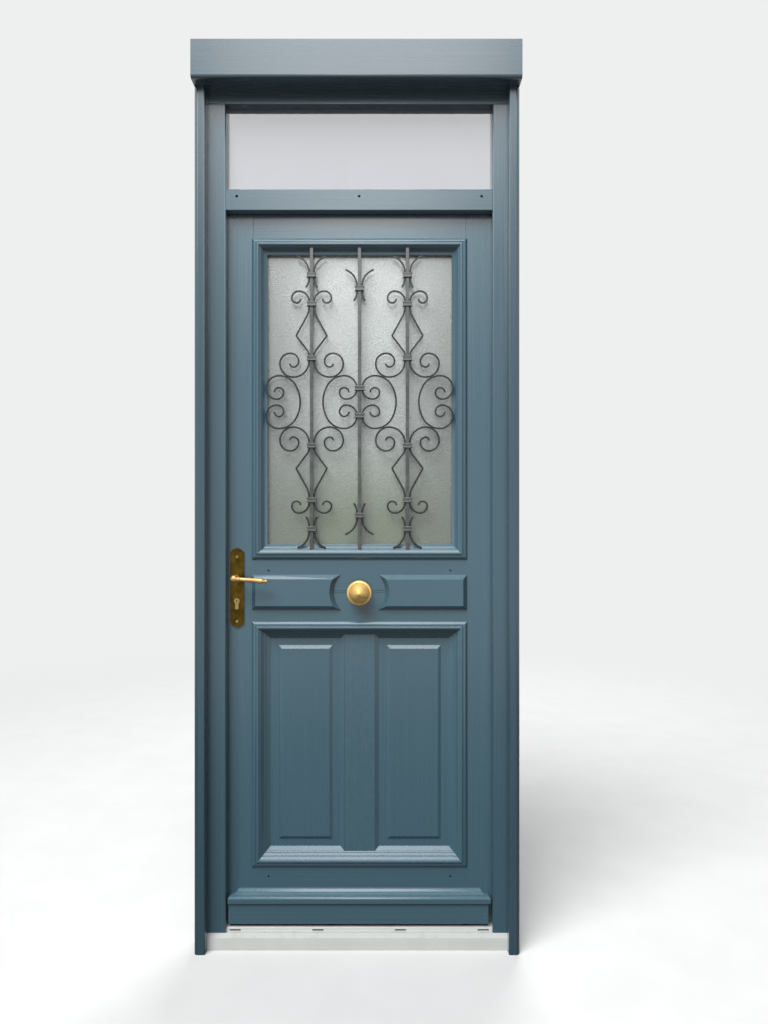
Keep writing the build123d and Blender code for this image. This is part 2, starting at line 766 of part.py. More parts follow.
muntin_tenon_half = muntin_width / 2 - tenon_shoulder
with BuildPart() as mid_rail:
    rail(*rails["mid"])
    rail_groove(panel_opening_top, panel_opening_top + tongue_length + tongue_play)
    span(-muntin_tenon_half, muntin_tenon_half, tongue_middle - groove_half, tongue_middle + groove_half,
         panel_opening_top, panel_opening_top + tenon_length, Mode.SUBTRACT)
    rod_y(0, rail_axis, leaf_face, leaf_back, knob_bolt_radius + drill_play, Mode.SUBTRACT)
    for drain_x in (-leaf_drain_offset, leaf_drain_offset):
        rod_y(drain_x, window_bottom - mid_drain_drop, leaf_face, leaf_face + leaf_drain_depth,
              leaf_drain_radius, Mode.SUBTRACT)
    groove_width = (score_width - score_bead) / 2
    for groove_middle in (score_bead + groove_width, -score_bead - groove_width):
        height = rail_axis + groove_middle / 2
        span(-knob_clear_radius, knob_clear_radius, leaf_face, leaf_face + score_depth,
             height - groove_width / 2, height + groove_width / 2, Mode.SUBTRACT)
keep(mid_rail, "mid_rail")

with BuildPart() as bottom_rail:
    rail(*rails["bottom"])
    rail_groove(panel_opening_bottom - tongue_length - tongue_play, panel_opening_bottom)
    span(-muntin_tenon_half, muntin_tenon_half, tongue_middle - groove_half, tongue_middle + groove_half,
         panel_opening_bottom - tenon_length, panel_opening_bottom, Mode.SUBTRACT)
    for drain_x in (-leaf_drain_offset, leaf_drain_offset):
        rod_y(drain_x, panel_opening_bottom - bottom_drain_drop, leaf_face, leaf_face + leaf_drain_depth,
              leaf_drain_radius, Mode.SUBTRACT)
keep(bottom_rail, "bottom_rail")

with BuildPart() as muntin:
    span(-muntin_width / 2, muntin_width / 2, panel_face, leaf_back, panel_opening_bottom,
         panel_opening_top)
    for side in (-1, 1):
        near, far = sorted((side * muntin_width / 2, side * (muntin_width / 2 - tongue_length - tongue_play)))
        span(near, far, tongue_middle - groove_half, tongue_middle + groove_half,
             panel_opening_bottom, panel_opening_top, Mode.SUBTRACT)
    span(-muntin_tenon_half, muntin_tenon_half, tongue_middle - groove_half, tongue_middle + groove_half,
         panel_opening_bottom - tenon_length, panel_opening_top + tenon_length)
keep(muntin, "muntin")


# Raised panels: a splayed sinking round a bevelled field, and a tongue all round
def raised_panel(side: int) -> BuildPart:
    """Make the raised panel on one side of the muntin."""
    body_in = muntin_width / 2 + tongue_play
    body_out = half_opening - tongue_play
    body_low = panel_opening_bottom + tongue_play
    body_high = panel_opening_top - tongue_play
    seen_out = half_opening - moulding_inset
    seen_low = panel_opening_bottom + moulding_inset
    seen_high = panel_opening_top - moulding_inset
    seen_width = seen_out - body_in
    seen_height = seen_high - seen_low
    centre = (side * (body_in + seen_out) / 2, (seen_low + seen_high) / 2)
    floor_inset = panel_splay_width
    field_width = seen_width - 2 * floor_inset - 2 * field_side_margin
    field_length = seen_height - 2 * floor_inset - 2 * field_end_margin
    with BuildPart() as panel:
        near, far = sorted((side * body_in, side * body_out))
        span(near, far, panel_face, panel_face + panel_thickness, body_low, body_high)
        near, far = sorted((side * (body_in - tongue_length), side * (body_out + tongue_length)))
        span(near, far, tongue_middle - tongue_thickness / 2, tongue_middle + tongue_thickness / 2,
             body_low - tongue_length, body_high + tongue_length)
        with BuildSketch(facing_out.offset(-panel_face)):
            with Locations(centre):
                Rectangle(seen_width, seen_height)
        with BuildSketch(facing_out.offset(-panel_face - panel_splay_depth)):
            with Locations(centre):
                Rectangle(seen_width - 2 * floor_inset, seen_height - 2 * floor_inset)
        loft(mode=Mode.SUBTRACT)
        with BuildSketch(facing_out.offset(-panel_face - panel_splay_depth)):
            with Locations(centre):
                Rectangle(field_width, field_length)
        with BuildSketch(facing_out.offset(-panel_face - panel_splay_depth + field_height)):
            with Locations(centre):
                Rectangle(field_width - 2 * field_bevel, field_length - 2 * field_bevel)
        loft()
    return panel


left_panel = raised_panel(-1)
keep(left_panel, "left_panel")
right_panel = raised_panel(1)
keep(right_panel, "right_panel")


# Planted mouldings, mitred at the corners
def moulding_outline(back: float) -> None:
    """Draw the moulding's section: across is inwards from its outer edge, up is out of the leaf."""
    crest_in = moulding_fillet + crest_width
    ledge = crest_in + quirk
    bead_end = ledge + crest_width * 2 / 3
    step = moulding_proud / 2
    cove_end = moulding_width - crest_width
    with BuildLine() as outline:
        Line((0, 0), (0, moulding_fillet))
        Line((0, moulding_fillet), (moulding_fillet, moulding_fillet))
        ThreePointArc(
            (moulding_fillet, moulding_fillet),
            (moulding_fillet + crest_width * 0.22, moulding_proud - 1.6),
            (moulding_fillet + crest_width / 2, moulding_proud),
        )
        Line((moulding_fillet + crest_width / 2, moulding_proud), (crest_in, moulding_proud - 0.6))
        Line((crest_in, moulding_proud - 0.6), (crest_in, moulding_proud - 2 * quirk))
        Line((crest_in, moulding_proud - 2 * quirk), (ledge, moulding_proud - 2 * quirk))
        Line((ledge, moulding_proud - 2 * quirk), (ledge, moulding_proud - 0.8))
        ThreePointArc(
            (ledge, moulding_proud - 0.8),
            ((ledge + bead_end) / 2, moulding_proud - 0.4),
            (bead_end, moulding_proud - 2.4),
        )
        Line((bead_end, moulding_proud - 2.4), (bead_end, step))
        ThreePointArc(
            (bead_end, step),
            ((bead_end + cove_end) / 2 - 0.8, (step - step / 1.5) / 2 - 0.9),
            (cove_end, -step / 1.5),
        )
        Line((cove_end, -step / 1.5), (cove_end, -step))
        Line((cove_end, -step), (moulding_width, -moulding_inner_lip))
        Line((moulding_width, -moulding_inner_lip), (moulding_width, -back))
        Line((moulding_width, -back), (moulding_lap, -back))
        Line((moulding_lap, -back), (moulding_lap, 0))
        Line((moulding_lap, 0), (0, 0))
    make_face(outline.edges())


def moulding_length(corner: Vector, along: Vector, inward: Vector, length: float, back: float) -> None:
    """Add one mitred length of moulding that starts at an outer corner to the open part."""
    with BuildPart(mode=Mode.PRIVATE) as piece:
        with BuildSketch(Plane(origin=corner, x_dir=inward, z_dir=along)):
            moulding_outline(back)
        extrude(amount=length)
        split(bisect_by=Plane(origin=corner, z_dir=along - inward), keep=Keep.TOP)
        split(bisect_by=Plane(origin=corner + along * length, z_dir=along + inward), keep=Keep.BOTTOM)
    add(piece.part)


def moulding_frame(low: float, high: float, back: float) -> None:
    """Add the four mitred lengths round an opening of the leaf to the open part."""
    outer = half_opening + moulding_lap
    bottom = low - moulding_lap
    top = high + moulding_lap
    right, up = Vector(1, 0, 0), Vector(0, 0, 1)
    moulding_length(Vector(outer, leaf_face, top), -right, -up, 2 * outer, back)
    moulding_length(Vector(-outer, leaf_face, top), -up, right, top - bottom, back)
    moulding_length(Vector(-outer, leaf_face, bottom), right, up, 2 * outer, back)
    moulding_length(Vector(outer, leaf_face, bottom), up, -right, top - bottom, back)


bar_places = (-bar_spacing, 0.0, bar_spacing)
bar_low = window_bottom + moulding_inset - bar_socket_depth
bar_high = window_top - moulding_inset + bar_socket_depth
with BuildPart() as window_mouldings:
    moulding_frame(window_bottom, window_top, window_pane_face - leaf_face)
    for bar_x in bar_places:
        span(bar_x - bar_size / 2, bar_x + bar_size / 2, grille_y - bar_size / 2,
             grille_y + bar_size / 2, bar_low, bar_high, Mode.SUBTRACT)
keep(window_mouldings, "window_mouldings")

with BuildPart() as panel_mouldings:
    moulding_frame(panel_opening_bottom, panel_opening_top, panel_setback)
keep(panel_mouldings, "panel_mouldings")

# Window glazing in the leaf
window_half = half_opening - pane_edge_gap
window_low = window_bottom + pane_edge_gap
window_high = window_top - pane_edge_gap
window_outer_pane = pane(window_half, window_low, window_high, window_pane_face)
keep(window_outer_pane, "window_outer_pane")
window_spacer = pane_spacer(window_half, window_low, window_high, window_pane_face + pane_thickness)
keep(window_spacer, "window_spacer")
window_inner_pane = pane(window_half, window_low, window_high,
                         window_pane_face + pane_thickness + pane_space)
keep(window_inner_pane, "window_inner_pane")
window_beads = glazing_beads(half_opening, window_bottom, window_top, moulding_inset,
                             leaf_back - window_bead_depth, window_bead_depth)
keep(window_beads, "window_beads")

# Wrought grille: bars, and rods bent in one plane and clasped to the bars by collars
grille_plane = facing_out.offset(-grille_y)
side_bars = (-bar_spacing, bar_spacing)
both_ways = [(across, upright) for across in (-1, 1) for upright in (-1, 1)]


def forge(outline, places) -> BuildPart:
    """Make square rods that follow an outline, at each place and turned the way it says."""
    with BuildPart() as rods:
        for bar_x, across, upright in places:
            with BuildSketch(grille_plane):
                with BuildLine():
                    outline(bar_x, across, upright)
                trace(line_width=rod_size)
            extrude(amount=rod_size / 2, both=True)
    return rods


def turn(start, heading, radii, hand) -> None:
    """Draw quarter turns that follow on from each other, one for each radius."""
    point, way = start, heading
    for radius in radii:
        arc = JernArc(start=point, tangent=way, radius=radius * grille_scale, arc_size=hand * 90)
        point, way = arc @ 1, arc % 1


def flare(bar_x, rise, across, upright, reach, height) -> None:
    """Draw one leaf that leaves a collar straight and then flares away from its bar."""
    radius = grille_scale * (reach**2 + height**2) / (2 * reach)
    start = (bar_x + across * rod_offset, grille_z + rise)
    run = Line(start, (start[0], start[1] + upright * rod_run))
    sweep = degrees(asin(height * grille_scale / radius))
    JernArc(start=run @ 1, tangent=run % 1, radius=radius, arc_size=-across * upright * sweep)


def long_leaf(rise, bar_x, across, upright) -> None:
    """Draw the long leaf on the outer side of a collar."""
    flare(bar_x, upright * (rise + rod_end_gap), across, upright, spray_reach, spray_rise)


def short_leaf(rise, bar_x, across, upright) -> None:
    """Draw the short leaf on the inner side of the same collar."""
    flare(bar_x, upright * (rise - rod_end_gap), across, -upright, leaf_reach, leaf_drop)


def fleur(bar_x, across, upright) -> None:
    """Draw one small scroll that springs from the middle collar and rolls back on itself."""
    start = (bar_x + across * rod_offset, grille_z + upright * (middle_collar_rise + rod_end_gap))
    run = Line(start, (start[0], start[1] + upright * rod_run))
    turn(run @ 1, run % 1, fleur_radii, -across * upright)


def curl(bar_x, across, upright) -> None:
    """Draw one large curl that hangs from the inner collar."""
    start = (bar_x + across * rod_offset, grille_z + upright * (inner_collar_rise - rod_end_gap))
    run = Line(start, (start[0], start[1] - upright * rod_run))
    turn(run @ 1, run % 1, curl_radii, across * upright)


def lozenge(bar_x, across, upright) -> None:
    """Draw one half of the lozenge between the middle and the inner collars."""
    near = bar_x + across * rod_offset
    top = middle_collar_rise - rod_end_gap
    bottom = inner_collar_rise + rod_end_gap
    top_elbow = top - rod_run - lozenge_top_elbow * grille_scale
    bottom_elbow = bottom + rod_run + (lozenge_bottom_elbow - collar_lead) * grille_scale
    tip = (near + across * lozenge_reach * grille_scale, grille_z + upright * lozenge_height * grille_scale)
    FilletPolyline((near, grille_z + upright * top), (near, grille_z + upright * top_elbow), tip,
                   (near, grille_z + upright * bottom_elbow), (near, grille_z + upright * bottom),
                   radius=[radius * grille_scale for radius in lozenge_radii])


def scroll_half(bar_x, across, upright) -> None:
    """Draw half of a C scroll, from its bow beside the bar to its inner eye."""
    start = (bar_x + across * (rod_offset + scroll_start * grille_scale), grille_z)
    bow = JernArc(start=start, tangent=(0, upright), radius=scroll_bow_radius * grille_scale,
                  arc_size=-across * upright * scroll_bow_angle)
    shoulder = JernArc(start=bow @ 1, tangent=bow % 1, radius=scroll_shoulder_radius * grille_scale,
                       arc_size=-across * upright * (90 - scroll_bow_angle))
    turn(shoulder @ 1, shoulder % 1, scroll_radii, -across * upright)


side_places = [(bar_x, across, upright) for bar_x in side_bars for across, upright in both_ways]
centre_places = [(0.0, across, upright) for across, upright in both_ways]

with BuildPart() as grille_bars:
    for bar_x in bar_places:
        span(bar_x - bar_size / 2, bar_x + bar_size / 2, grille_y - bar_size / 2,
             grille_y + bar_size / 2, bar_low, bar_high)
keep(grille_bars, "grille_bars")

with BuildPart() as grille_sprays:
    for leaf_form in (long_leaf, short_leaf):
        for rise, places in ((outer_collar_rise, side_places), (centre_spray_rise, centre_places)):
            add(forge(lambda *place: leaf_form(rise, *place), places).part)
keep(grille_sprays, "grille_sprays")

grille_fleurs = forge(fleur, side_places)
keep(grille_fleurs, "grille_fleurs")
grille_lozenges = forge(lozenge, side_places)
keep(grille_lozenges, "grille_lozenges")
grille_curls = forge(curl, side_places)
keep(grille_curls, "grille_curls")

with BuildPart() as grille_scrolls:
    for bar_x in side_bars:
        for across in (-1, 1):
            with BuildSketch(grille_plane):
                for upright in (-1, 1):
                    with BuildLine():
                        scroll_half(bar_x, across, upright)
                    trace(line_width=rod_size)
            extrude(amount=rod_size / 2, both=True)
keep(grille_scrolls, "grille_scrolls")

collar_half_bore = rod_offset + rod_size / 2 + 2 * rod_play
scroll_bend = (collar_height / 2) ** 2 / (2 * scroll_radii[1] * grille_scale) + rod_play
scroll_collar_rise = grille_scale * (scroll_bow_radius * sin(radians(scroll_bow_angle))
                                     + scroll_shoulder_radius * (1 - sin(radians(scroll_bow_angle)))
                                     - scroll_radii[0])
side_collars = [(bar_x, sign * rise, 0.0) for bar_x in side_bars for sign in (-1, 1)
                for rise in (outer_collar_rise, middle_collar_rise, inner_collar_rise)]
spray_collars = [(0.0, sign * centre_spray_rise, 0.0) for sign in (-1, 1)]
scroll_collars = [(0.0, sign * scroll_collar_rise, scroll_bend) for sign in (-1, 1)]
with BuildPart() as grille_collars:
    for bar_x, rise, bend in side_collars + spray_collars + scroll_collars:
        middle = grille_z + rise
        half_bore = collar_half_bore + bend
        outer_half = half_bore + collar_wall
        depth_half = bar_size / 2 + collar_wall
        span(bar_x - outer_half, bar_x + outer_half, grille_y - depth_half, grille_y + depth_half,
             middle - collar_height / 2, middle + collar_height / 2)
        with Locations((bar_x, grille_y - depth_half, middle), (bar_x, grille_y + depth_half, middle)):
            Box(2 * outer_half, 2 * collar_waist, collar_height / 3, mode=Mode.SUBTRACT)
        span(bar_x - half_bore, bar_x + half_bore, grille_y - bar_size / 2,
             grille_y + bar_size / 2, middle - collar_height, middle + collar_height, Mode.SUBTRACT)
keep(grille_collars, "grille_collars")


# Blocks on the mid rail, hollowed round the knob
def rail_block(side: int) -> BuildPart:
    """Make the bevelled block on one side of the knob."""
    outer = half_opening + moulding_lap - block_outer_inset
    with BuildPart() as block:
        with BuildSketch(facing_out.offset(-leaf_face)):
            with Locations((side * outer / 2, rail_axis - 1.0)):
                Rectangle(outer, block_height)
            with Locations((0, rail_axis)):
                Circle(knob_clear_radius, mode=Mode.SUBTRACT)
        extrude(amount=block_thickness)
        chamfer(block.faces().sort_by(Axis.Y)[0].edges(), block_bevel)
    return block


left_rail_block = rail_block(-1)
keep(left_rail_block, "left_rail_block")
right_rail_block = rail_block(1)
keep(right_rail_block, "right_rail_block")

# Weatherboard: a drip moulding above a plinth board
drip_top = leaf_bottom + drip_top_rise
drip_bottom = drip_top - drip_height
drip_low_x = -half_clear + drip_lock_clearance
drip_high_x = half_clear - drip_hinge_clearance


def drip_curve(nose: float, towards: float) -> None:
    """Draw the drip's curved top, from its nose to the top of its back, across and up."""
    crest = nose + towards * (drip_projection - 6.5)
    lip = nose + towards * 7.0
    Line((nose, drip_bottom), (nose, drip_top - 21.5))
    ThreePointArc((nose, drip_top - 21.5), (nose + towards * 1.8, drip_top - 16.5),
                  (lip, drip_top - 13.5))
    ThreePointArc((lip, drip_top - 13.5), (nose + towards * 18.0, drip_top - 11.0),
                  (crest, drip_top - 4.0))
    ThreePointArc((crest, drip_top - 4.0), (crest + towards * 3.0, drip_top - 1.0),
                  (nose + towards * drip_projection, drip_top))


with BuildPart() as drip_moulding:
    with BuildSketch(Plane.YZ.offset(drip_low_x)):
        with BuildLine():
            drip_curve(leaf_face - drip_projection, 1)
            Polyline((leaf_face, drip_top), (leaf_face, drip_bottom),
                     (leaf_face - drip_projection, drip_bottom))
        make_face()
    extrude(amount=drip_high_x - drip_low_x)
    with BuildSketch(facing_out.offset(-leaf_face)):
        with BuildLine():
            drip_curve(drip_low_x, 1)
            Line((drip_low_x + drip_projection, drip_top), (drip_high_x - drip_projection, drip_top))
            drip_curve(drip_high_x, -1)
            Line((drip_high_x, drip_bottom), (drip_low_x, drip_bottom))
        make_face()
    extrude(amount=drip_projection, mode=Mode.INTERSECT)
keep(drip_moulding, "drip_moulding")

with BuildPart() as plinth_board:
    span(-half_clear + plinth_lock_clearance, half_clear - plinth_hinge_clearance,
         leaf_face - plinth_thickness, leaf_face, leaf_bottom + plinth_bottom_rise, drip_bottom)
    chamfer(plinth_board.edges().filter_by(Axis.X).group_by(Axis.Z)[0].sort_by(Axis.Y)[0], 2.0)
keep(plinth_board, "plinth_board")

# Knob on its rose, held by a bolt through the rail
knob_back = leaf_face - knob_rose_thickness
knob_disc_back = knob_back - knob_neck_length
knob_tip = leaf_face - knob_length
knob_plane = Plane(origin=(0, 0, rail_axis), x_dir=(1, 0, 0), z_dir=(0, 0, 1))
with BuildPart() as door_knob:
    with BuildSketch(knob_plane):
        with BuildLine():
            Polyline((0, knob_back), (knob_neck_radius + 3, knob_back),
                     (knob_neck_radius + 3, knob_back - 3), (knob_neck_radius, knob_back - 6),
                     (knob_neck_radius, knob_disc_back + 4))
            ThreePointArc((knob_neck_radius, knob_disc_back + 4),
                          (knob_radius - 12, knob_disc_back + 0.5),
                          (knob_radius - 3, knob_disc_back - 2))
            ThreePointArc((knob_radius - 3, knob_disc_back - 2),
                          (knob_radius, knob_disc_back - knob_rim),
                          (knob_radius - 3, knob_disc_back - 2 * knob_rim + 2))
            Line((knob_radius - 3, knob_disc_back - 2 * knob_rim + 2),
                 (knob_radius - 5, knob_disc_back - 2 * knob_rim + 1))
            ThreePointArc((knob_radius - 5, knob_disc_back - 2 * knob_rim + 1),
                          (knob_radius / 2, (knob_disc_back - 2 * knob_rim + knob_tip) / 2 - 1.5),
                          (3, knob_tip + 2))
            Polyline((3, knob_tip + 2), (1.6, knob_tip + 0.4), (0, knob_tip), (0, knob_back))
        make_face()
    revolve(axis=Axis((0, 0, rail_axis), (0, 1, 0)))
    rod_y(0, rail_axis, knob_back - knob_bolt_engagement, knob_back,
          knob_bolt_radius + drill_play, Mode.SUBTRACT)
keep(door_knob, "door_knob")

with BuildPart() as knob_rose:
    rod_y(0, rail_axis, knob_back, leaf_face, knob_rose_radius)
    chamfer(knob_rose.faces().sort_by(Axis.Y)[0].edges(), 1.5)
    rod_y(0, rail_axis, knob_back, leaf_face, knob_bolt_radius + drill_play, Mode.SUBTRACT)
keep(knob_rose, "knob_rose")

with BuildPart() as knob_bolt:
    rod_y(0, rail_axis, leaf_back, leaf_back + knob_bolt_head, knob_bolt_head_radius)
    fillet(knob_bolt.faces().sort_by(Axis.Y)[-1].edges(), 1.5)
    rod_y(0, rail_axis, knob_back - knob_bolt_engagement + 1.0, leaf_back, knob_bolt_radius)
keep(knob_bolt, "knob_bolt")


# Backplates, one on each face of the leaf
def plate_outline(inset: float) -> None:
    """Draw the plate's outline about the lever axis, drawn in by an inset."""
    half = plate_width / 2 - inset
    with BuildLine() as outline:
        corners = []
        for up, reach in ((1, plate_above_lever), (-1, plate_below_lever)):
            peak = lever_z + up * (reach - inset)
            shoulder = peak - up * plate_shoulder
            for side in (-1, 1):
                ledge = (lever_x + side * (half - plate_step), shoulder + up)
                Line((lever_x + side * half, shoulder), ledge)
                ThreePointArc(ledge, (lever_x + side * (half / 2 - 1), peak - up * (plate_shoulder / 2 - 2)),
                              (lever_x, peak))
                corners.append((lever_x + side * half, shoulder))
        Line(corners[0], corners[2])
        Line(corners[1], corners[3])
    make_face(outline.edges())


def backplate(seat: float, out: int) -> BuildPart:
    """Make a plate seated on the leaf at one depth, facing out (-1) or into the room (1)."""
    face = seat + out * plate_thickness
    near, far = sorted((seat, face))
    with BuildPart() as plate:
        with BuildSketch(facing_out.offset(-far)):
            plate_outline(0)
        extrude(amount=plate_thickness)
        sink_from, sink_to = sorted((face, face - out * plate_sink))
        with BuildSketch(facing_out.offset(-sink_to)):
            plate_outline(plate_rim)
        extrude(amount=plate_sink, mode=Mode.SUBTRACT)
        collar_near, collar_far = sorted((seat, face + out * lever_collar_height))
        rod_y(lever_x, lever_z, collar_near, collar_far, lever_collar_radius)
        rod_y(lever_x, lever_z, collar_near, collar_far, lever_neck_radius + neck_running_gap, Mode.SUBTRACT)
        with BuildSketch(facing_out.offset(-far)):
            euro_outline(running_gap)
        extrude(amount=plate_thickness, mode=Mode.SUBTRACT)
        for screw_z in plate_screw_heights:
            rod_y(lever_x, screw_z, near, far, plate_screw_radius + drill_play, Mode.SUBTRACT)
    return plate


outer_backplate = backplate(leaf_face, -1)
keep(outer_backplate, "outer_backplate")
inner_backplate = backplate(leaf_back, 1)
keep(inner_backplate, "inner_backplate")

with BuildPart() as backplate_screws:
    outer_seat = leaf_face - plate_thickness + plate_sink
    inner_seat = leaf_back + plate_thickness - plate_sink
    for screw_z in plate_screw_heights:
        rod_y(lever_x, screw_z, outer_seat, inner_seat, plate_screw_radius)
        rod_y(lever_x, screw_z, outer_seat - plate_screw_head, outer_seat, plate_screw_head_radius)
        rod_y(lever_x, screw_z, inner_seat, inner_seat + plate_screw_head, plate_screw_head_radius)
    fillet(backplate_screws.faces().filter_by(Axis.Y).group_by(Axis.Y)[0].edges(), 1.2)
    span(lever_x - 0.6, lever_x + 0.6, outer_seat - plate_screw_head, outer_seat - plate_screw_head / 2,
         min(plate_screw_heights) - plate_screw_head_radius,
         max(plate_screw_heights) + plate_screw_head_radius, Mode.SUBTRACT)
keep(backplate_screws, "backplate_screws")


# Levers on a square spindle
def lever(seat: float, out: int) -> BuildPart:
    """Make one lever handle whose neck turns in a backplate, out of (-1) or into (1) the house."""
    neck_end = seat + out * lever_projection
    along = Vector(cos(radians(lever_droop)), 0, -sin(radians(lever_droop)))
    grip_start = Vector(lever_x, neck_end, lever_z)
    with BuildPart() as handle:
        near, far = sorted((seat + out * 0.5, neck_end))
        rod_y(lever_x, lever_z, near, far, lever_neck_radius)
        with Locations(grip_start):
            Sphere(lever_neck_radius)
        with BuildSketch(Plane(origin=grip_start, x_dir=along, z_dir=(0, 1, 0))):
            shoulder = lever_length - 3 * lever_button_radius
            button = lever_length - lever_button_radius
            button_throat = lever_button_radius * 0.6
            with BuildLine():
                Line((0, 0), (0, lever_throat_radius + 1.5))
                ThreePointArc((0, lever_throat_radius + 1.5), (8, lever_throat_radius + 0.6),
                              (16, lever_throat_radius))
                Line((16, lever_throat_radius), (shoulder - 7, lever_grip_radius))
                ThreePointArc((shoulder - 7, lever_grip_radius), (shoulder - 1.5, lever_grip_radius - 1.6),
                              (shoulder, button_throat))
                Line((shoulder, button_throat), (button - lever_button_radius * 0.8, button_throat))
                ThreePointArc((button - lever_button_radius * 0.8, button_throat),
                              (button, lever_button_radius), (lever_length, 0))
                Line((lever_length, 0), (0, 0))
            make_face()
        revolve(axis=Axis(grip_start, along))
        socket_half = spindle_size / 2 + spindle_play
        socket_near, socket_far = sorted((seat - out * 1.0, seat + out * spindle_insertion))
        span(lever_x - socket_half, lever_x + socket_half, socket_near, socket_far,
             lever_z - socket_half, lever_z + socket_half, Mode.SUBTRACT)
    return handle


outer_lever = lever(leaf_face, -1)
keep(outer_lever, "outer_lever")
inner_lever = lever(leaf_back, 1)
keep(inner_lever, "inner_lever")

with BuildPart() as lever_spindle:
    spindle_end = spindle_insertion - running_gap
    span(lever_x - spindle_size / 2, lever_x + spindle_size / 2, leaf_face - spindle_end,
         leaf_back + spindle_end, lever_z - spindle_size / 2, lever_z + spindle_size / 2)
keep(lever_spindle, "lever_spindle")

# Mortice lock: case, forend, follower, latch, bolt and cylinder
case_near = leaf_middle - case_thickness / 2
case_far = leaf_middle + case_thickness / 2
with BuildPart() as lock_case:
    span(case_front, case_back, case_near, case_far, case_low, case_high)
    span(case_front, case_back - case_wall, case_near + case_wall, case_far - case_wall,
         case_low + case_wall, case_high - case_wall, Mode.SUBTRACT)
    rod_y(lever_x, lever_z, case_near, case_far, follower_radius + neck_running_gap, Mode.SUBTRACT)
    with BuildSketch(facing_out.offset(-case_far)):
        euro_outline(running_gap)
    extrude(amount=case_thickness, mode=Mode.SUBTRACT)
keep(lock_case, "lock_case")

with BuildPart() as lock_forend:
    span(-half_leaf, case_front, leaf_middle - forend_width / 2, leaf_middle + forend_width / 2,
         forend_low, forend_high)
    for bolt_z, height, thickness in ((latch_z, latch_height, latch_thickness),
                                      (dead_bolt_z, dead_bolt_height, dead_bolt_thickness)):
        span(-half_leaf, case_front, leaf_middle - thickness / 2 - running_gap,
             leaf_middle + thickness / 2 + running_gap, bolt_z - height / 2 - running_gap,
             bolt_z + height / 2 + running_gap, Mode.SUBTRACT)
    for screw_z in forend_screw_heights:
        rod_x(leaf_middle, screw_z, -half_leaf, case_front, wood_screw_head_radius, Mode.SUBTRACT)
keep(lock_forend, "lock_forend")

with BuildPart() as forend_screws:
    for screw_z in forend_screw_heights:
        wood_screw(case_front + wood_screw_length - 1.0, -half_leaf, screw_z)
keep(forend_screws, "forend_screws")

with BuildPart() as lock_follower:
    rod_y(lever_x, lever_z, case_near, case_far, follower_radius)
    rod_y(lever_x, lever_z, leaf_middle - follower_flange / 2, leaf_middle + follower_flange / 2,
          follower_flange_radius)
    hole_half = spindle_size / 2 + spindle_play
    span(lever_x - hole_half, lever_x + hole_half, case_near, case_far, lever_z - hole_half,
         lever_z + hole_half, Mode.SUBTRACT)
keep(lock_follower, "lock_follower")

with BuildPart() as latch_bolt:
    latch_tip = -half_leaf - latch_throw
    bevel_x = latch_tip + latch_throw - running_gap
    latch_near = leaf_middle - latch_thickness / 2
    latch_far = leaf_middle + latch_thickness / 2
    with BuildSketch(Plane.XY.offset(latch_z - latch_height / 2)):
        with BuildLine():
            Polyline((bevel_x, latch_near), (latch_tip + latch_head_length, latch_near),
                     (latch_tip + latch_head_length, latch_far), (latch_tip, latch_far),
                     (latch_tip, latch_far - 2.0), close=True)
        make_face()
    extrude(amount=latch_height)
    span(latch_tip + latch_head_length, latch_tip + latch_length,
         leaf_middle - latch_tail_thickness / 2, leaf_middle + latch_tail_thickness / 2,
         latch_z - latch_tail_height / 2, latch_z + latch_tail_height / 2)
keep(latch_bolt, "latch_bolt")

with BuildPart() as dead_bolt:
    span(-half_leaf, -half_leaf + dead_bolt_length, leaf_middle - dead_bolt_thickness / 2 + 0.6,
         leaf_middle + dead_bolt_thickness / 2 - 0.6, dead_bolt_z - dead_bolt_height / 2,
         dead_bolt_z + dead_bolt_height / 2)
    chamfer(dead_bolt.faces().sort_by(Axis.X)[0].edges(), 1.0)
keep(dead_bolt, "dead_bolt")

cylinder_outer = leaf_face - plate_thickness - cylinder_proud
cylinder_inner = leaf_back + plate_thickness + cylinder_proud
with BuildPart() as cylinder_body:
    with BuildSketch(facing_out.offset(-cylinder_inner)):
        euro_outline(0)
    extrude(amount=cylinder_inner - cylinder_outer)
    rod_y(lever_x, cylinder_z, cylinder_outer, cylinder_inner, plug_radius + plug_running_gap, Mode.SUBTRACT)
    span(lever_x - 2 * cylinder_radius, lever_x + 2 * cylinder_radius, leaf_middle - cam_slot_width / 2,
         leaf_middle + cam_slot_width / 2, cylinder_z - cam_clear_radius,
         cylinder_z + 2 * cylinder_radius, Mode.SUBTRACT)
keep(cylinder_body, "cylinder_body")

with BuildPart() as cylinder_plug:
    rod_y(lever_x, cylinder_z, cylinder_outer - 0.5, cylinder_inner + 0.5, plug_radius)
    rod_y(lever_x, cylinder_z, leaf_middle - cam_width / 2, leaf_middle + cam_width / 2,
          cylinder_radius - running_gap)
    with BuildSketch(facing_out.offset(-leaf_middle - cam_width / 2)):
        with Locations((lever_x, cylinder_z - cam_radius / 2)):
            Rectangle(cam_tail_width, cam_radius)
    extrude(amount=cam_width)
    for slot_from, slot_to in ((cylinder_outer - 0.5, cylinder_outer + key_slot_depth),
                               (cylinder_inner - key_slot_depth, cylinder_inner + 0.5)):
        span(lever_x - key_slot_width / 2, lever_x + key_slot_width / 2, slot_from, slot_to,
             cylinder_z - key_slot_height / 2, cylinder_z + key_slot_height / 2, Mode.SUBTRACT)
keep(cylinder_plug, "cylinder_plug")
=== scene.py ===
"""Looks of a panelled timber front door: painted timber, a wrought grille, obscure glass and brass."""

import logging
from collections.abc import Callable
from dataclasses import dataclass
from enum import Enum
from math import cos, hypot, radians, sin, sqrt
from typing import Protocol

import bmesh
import bpy
from mathutils import Matrix, Vector


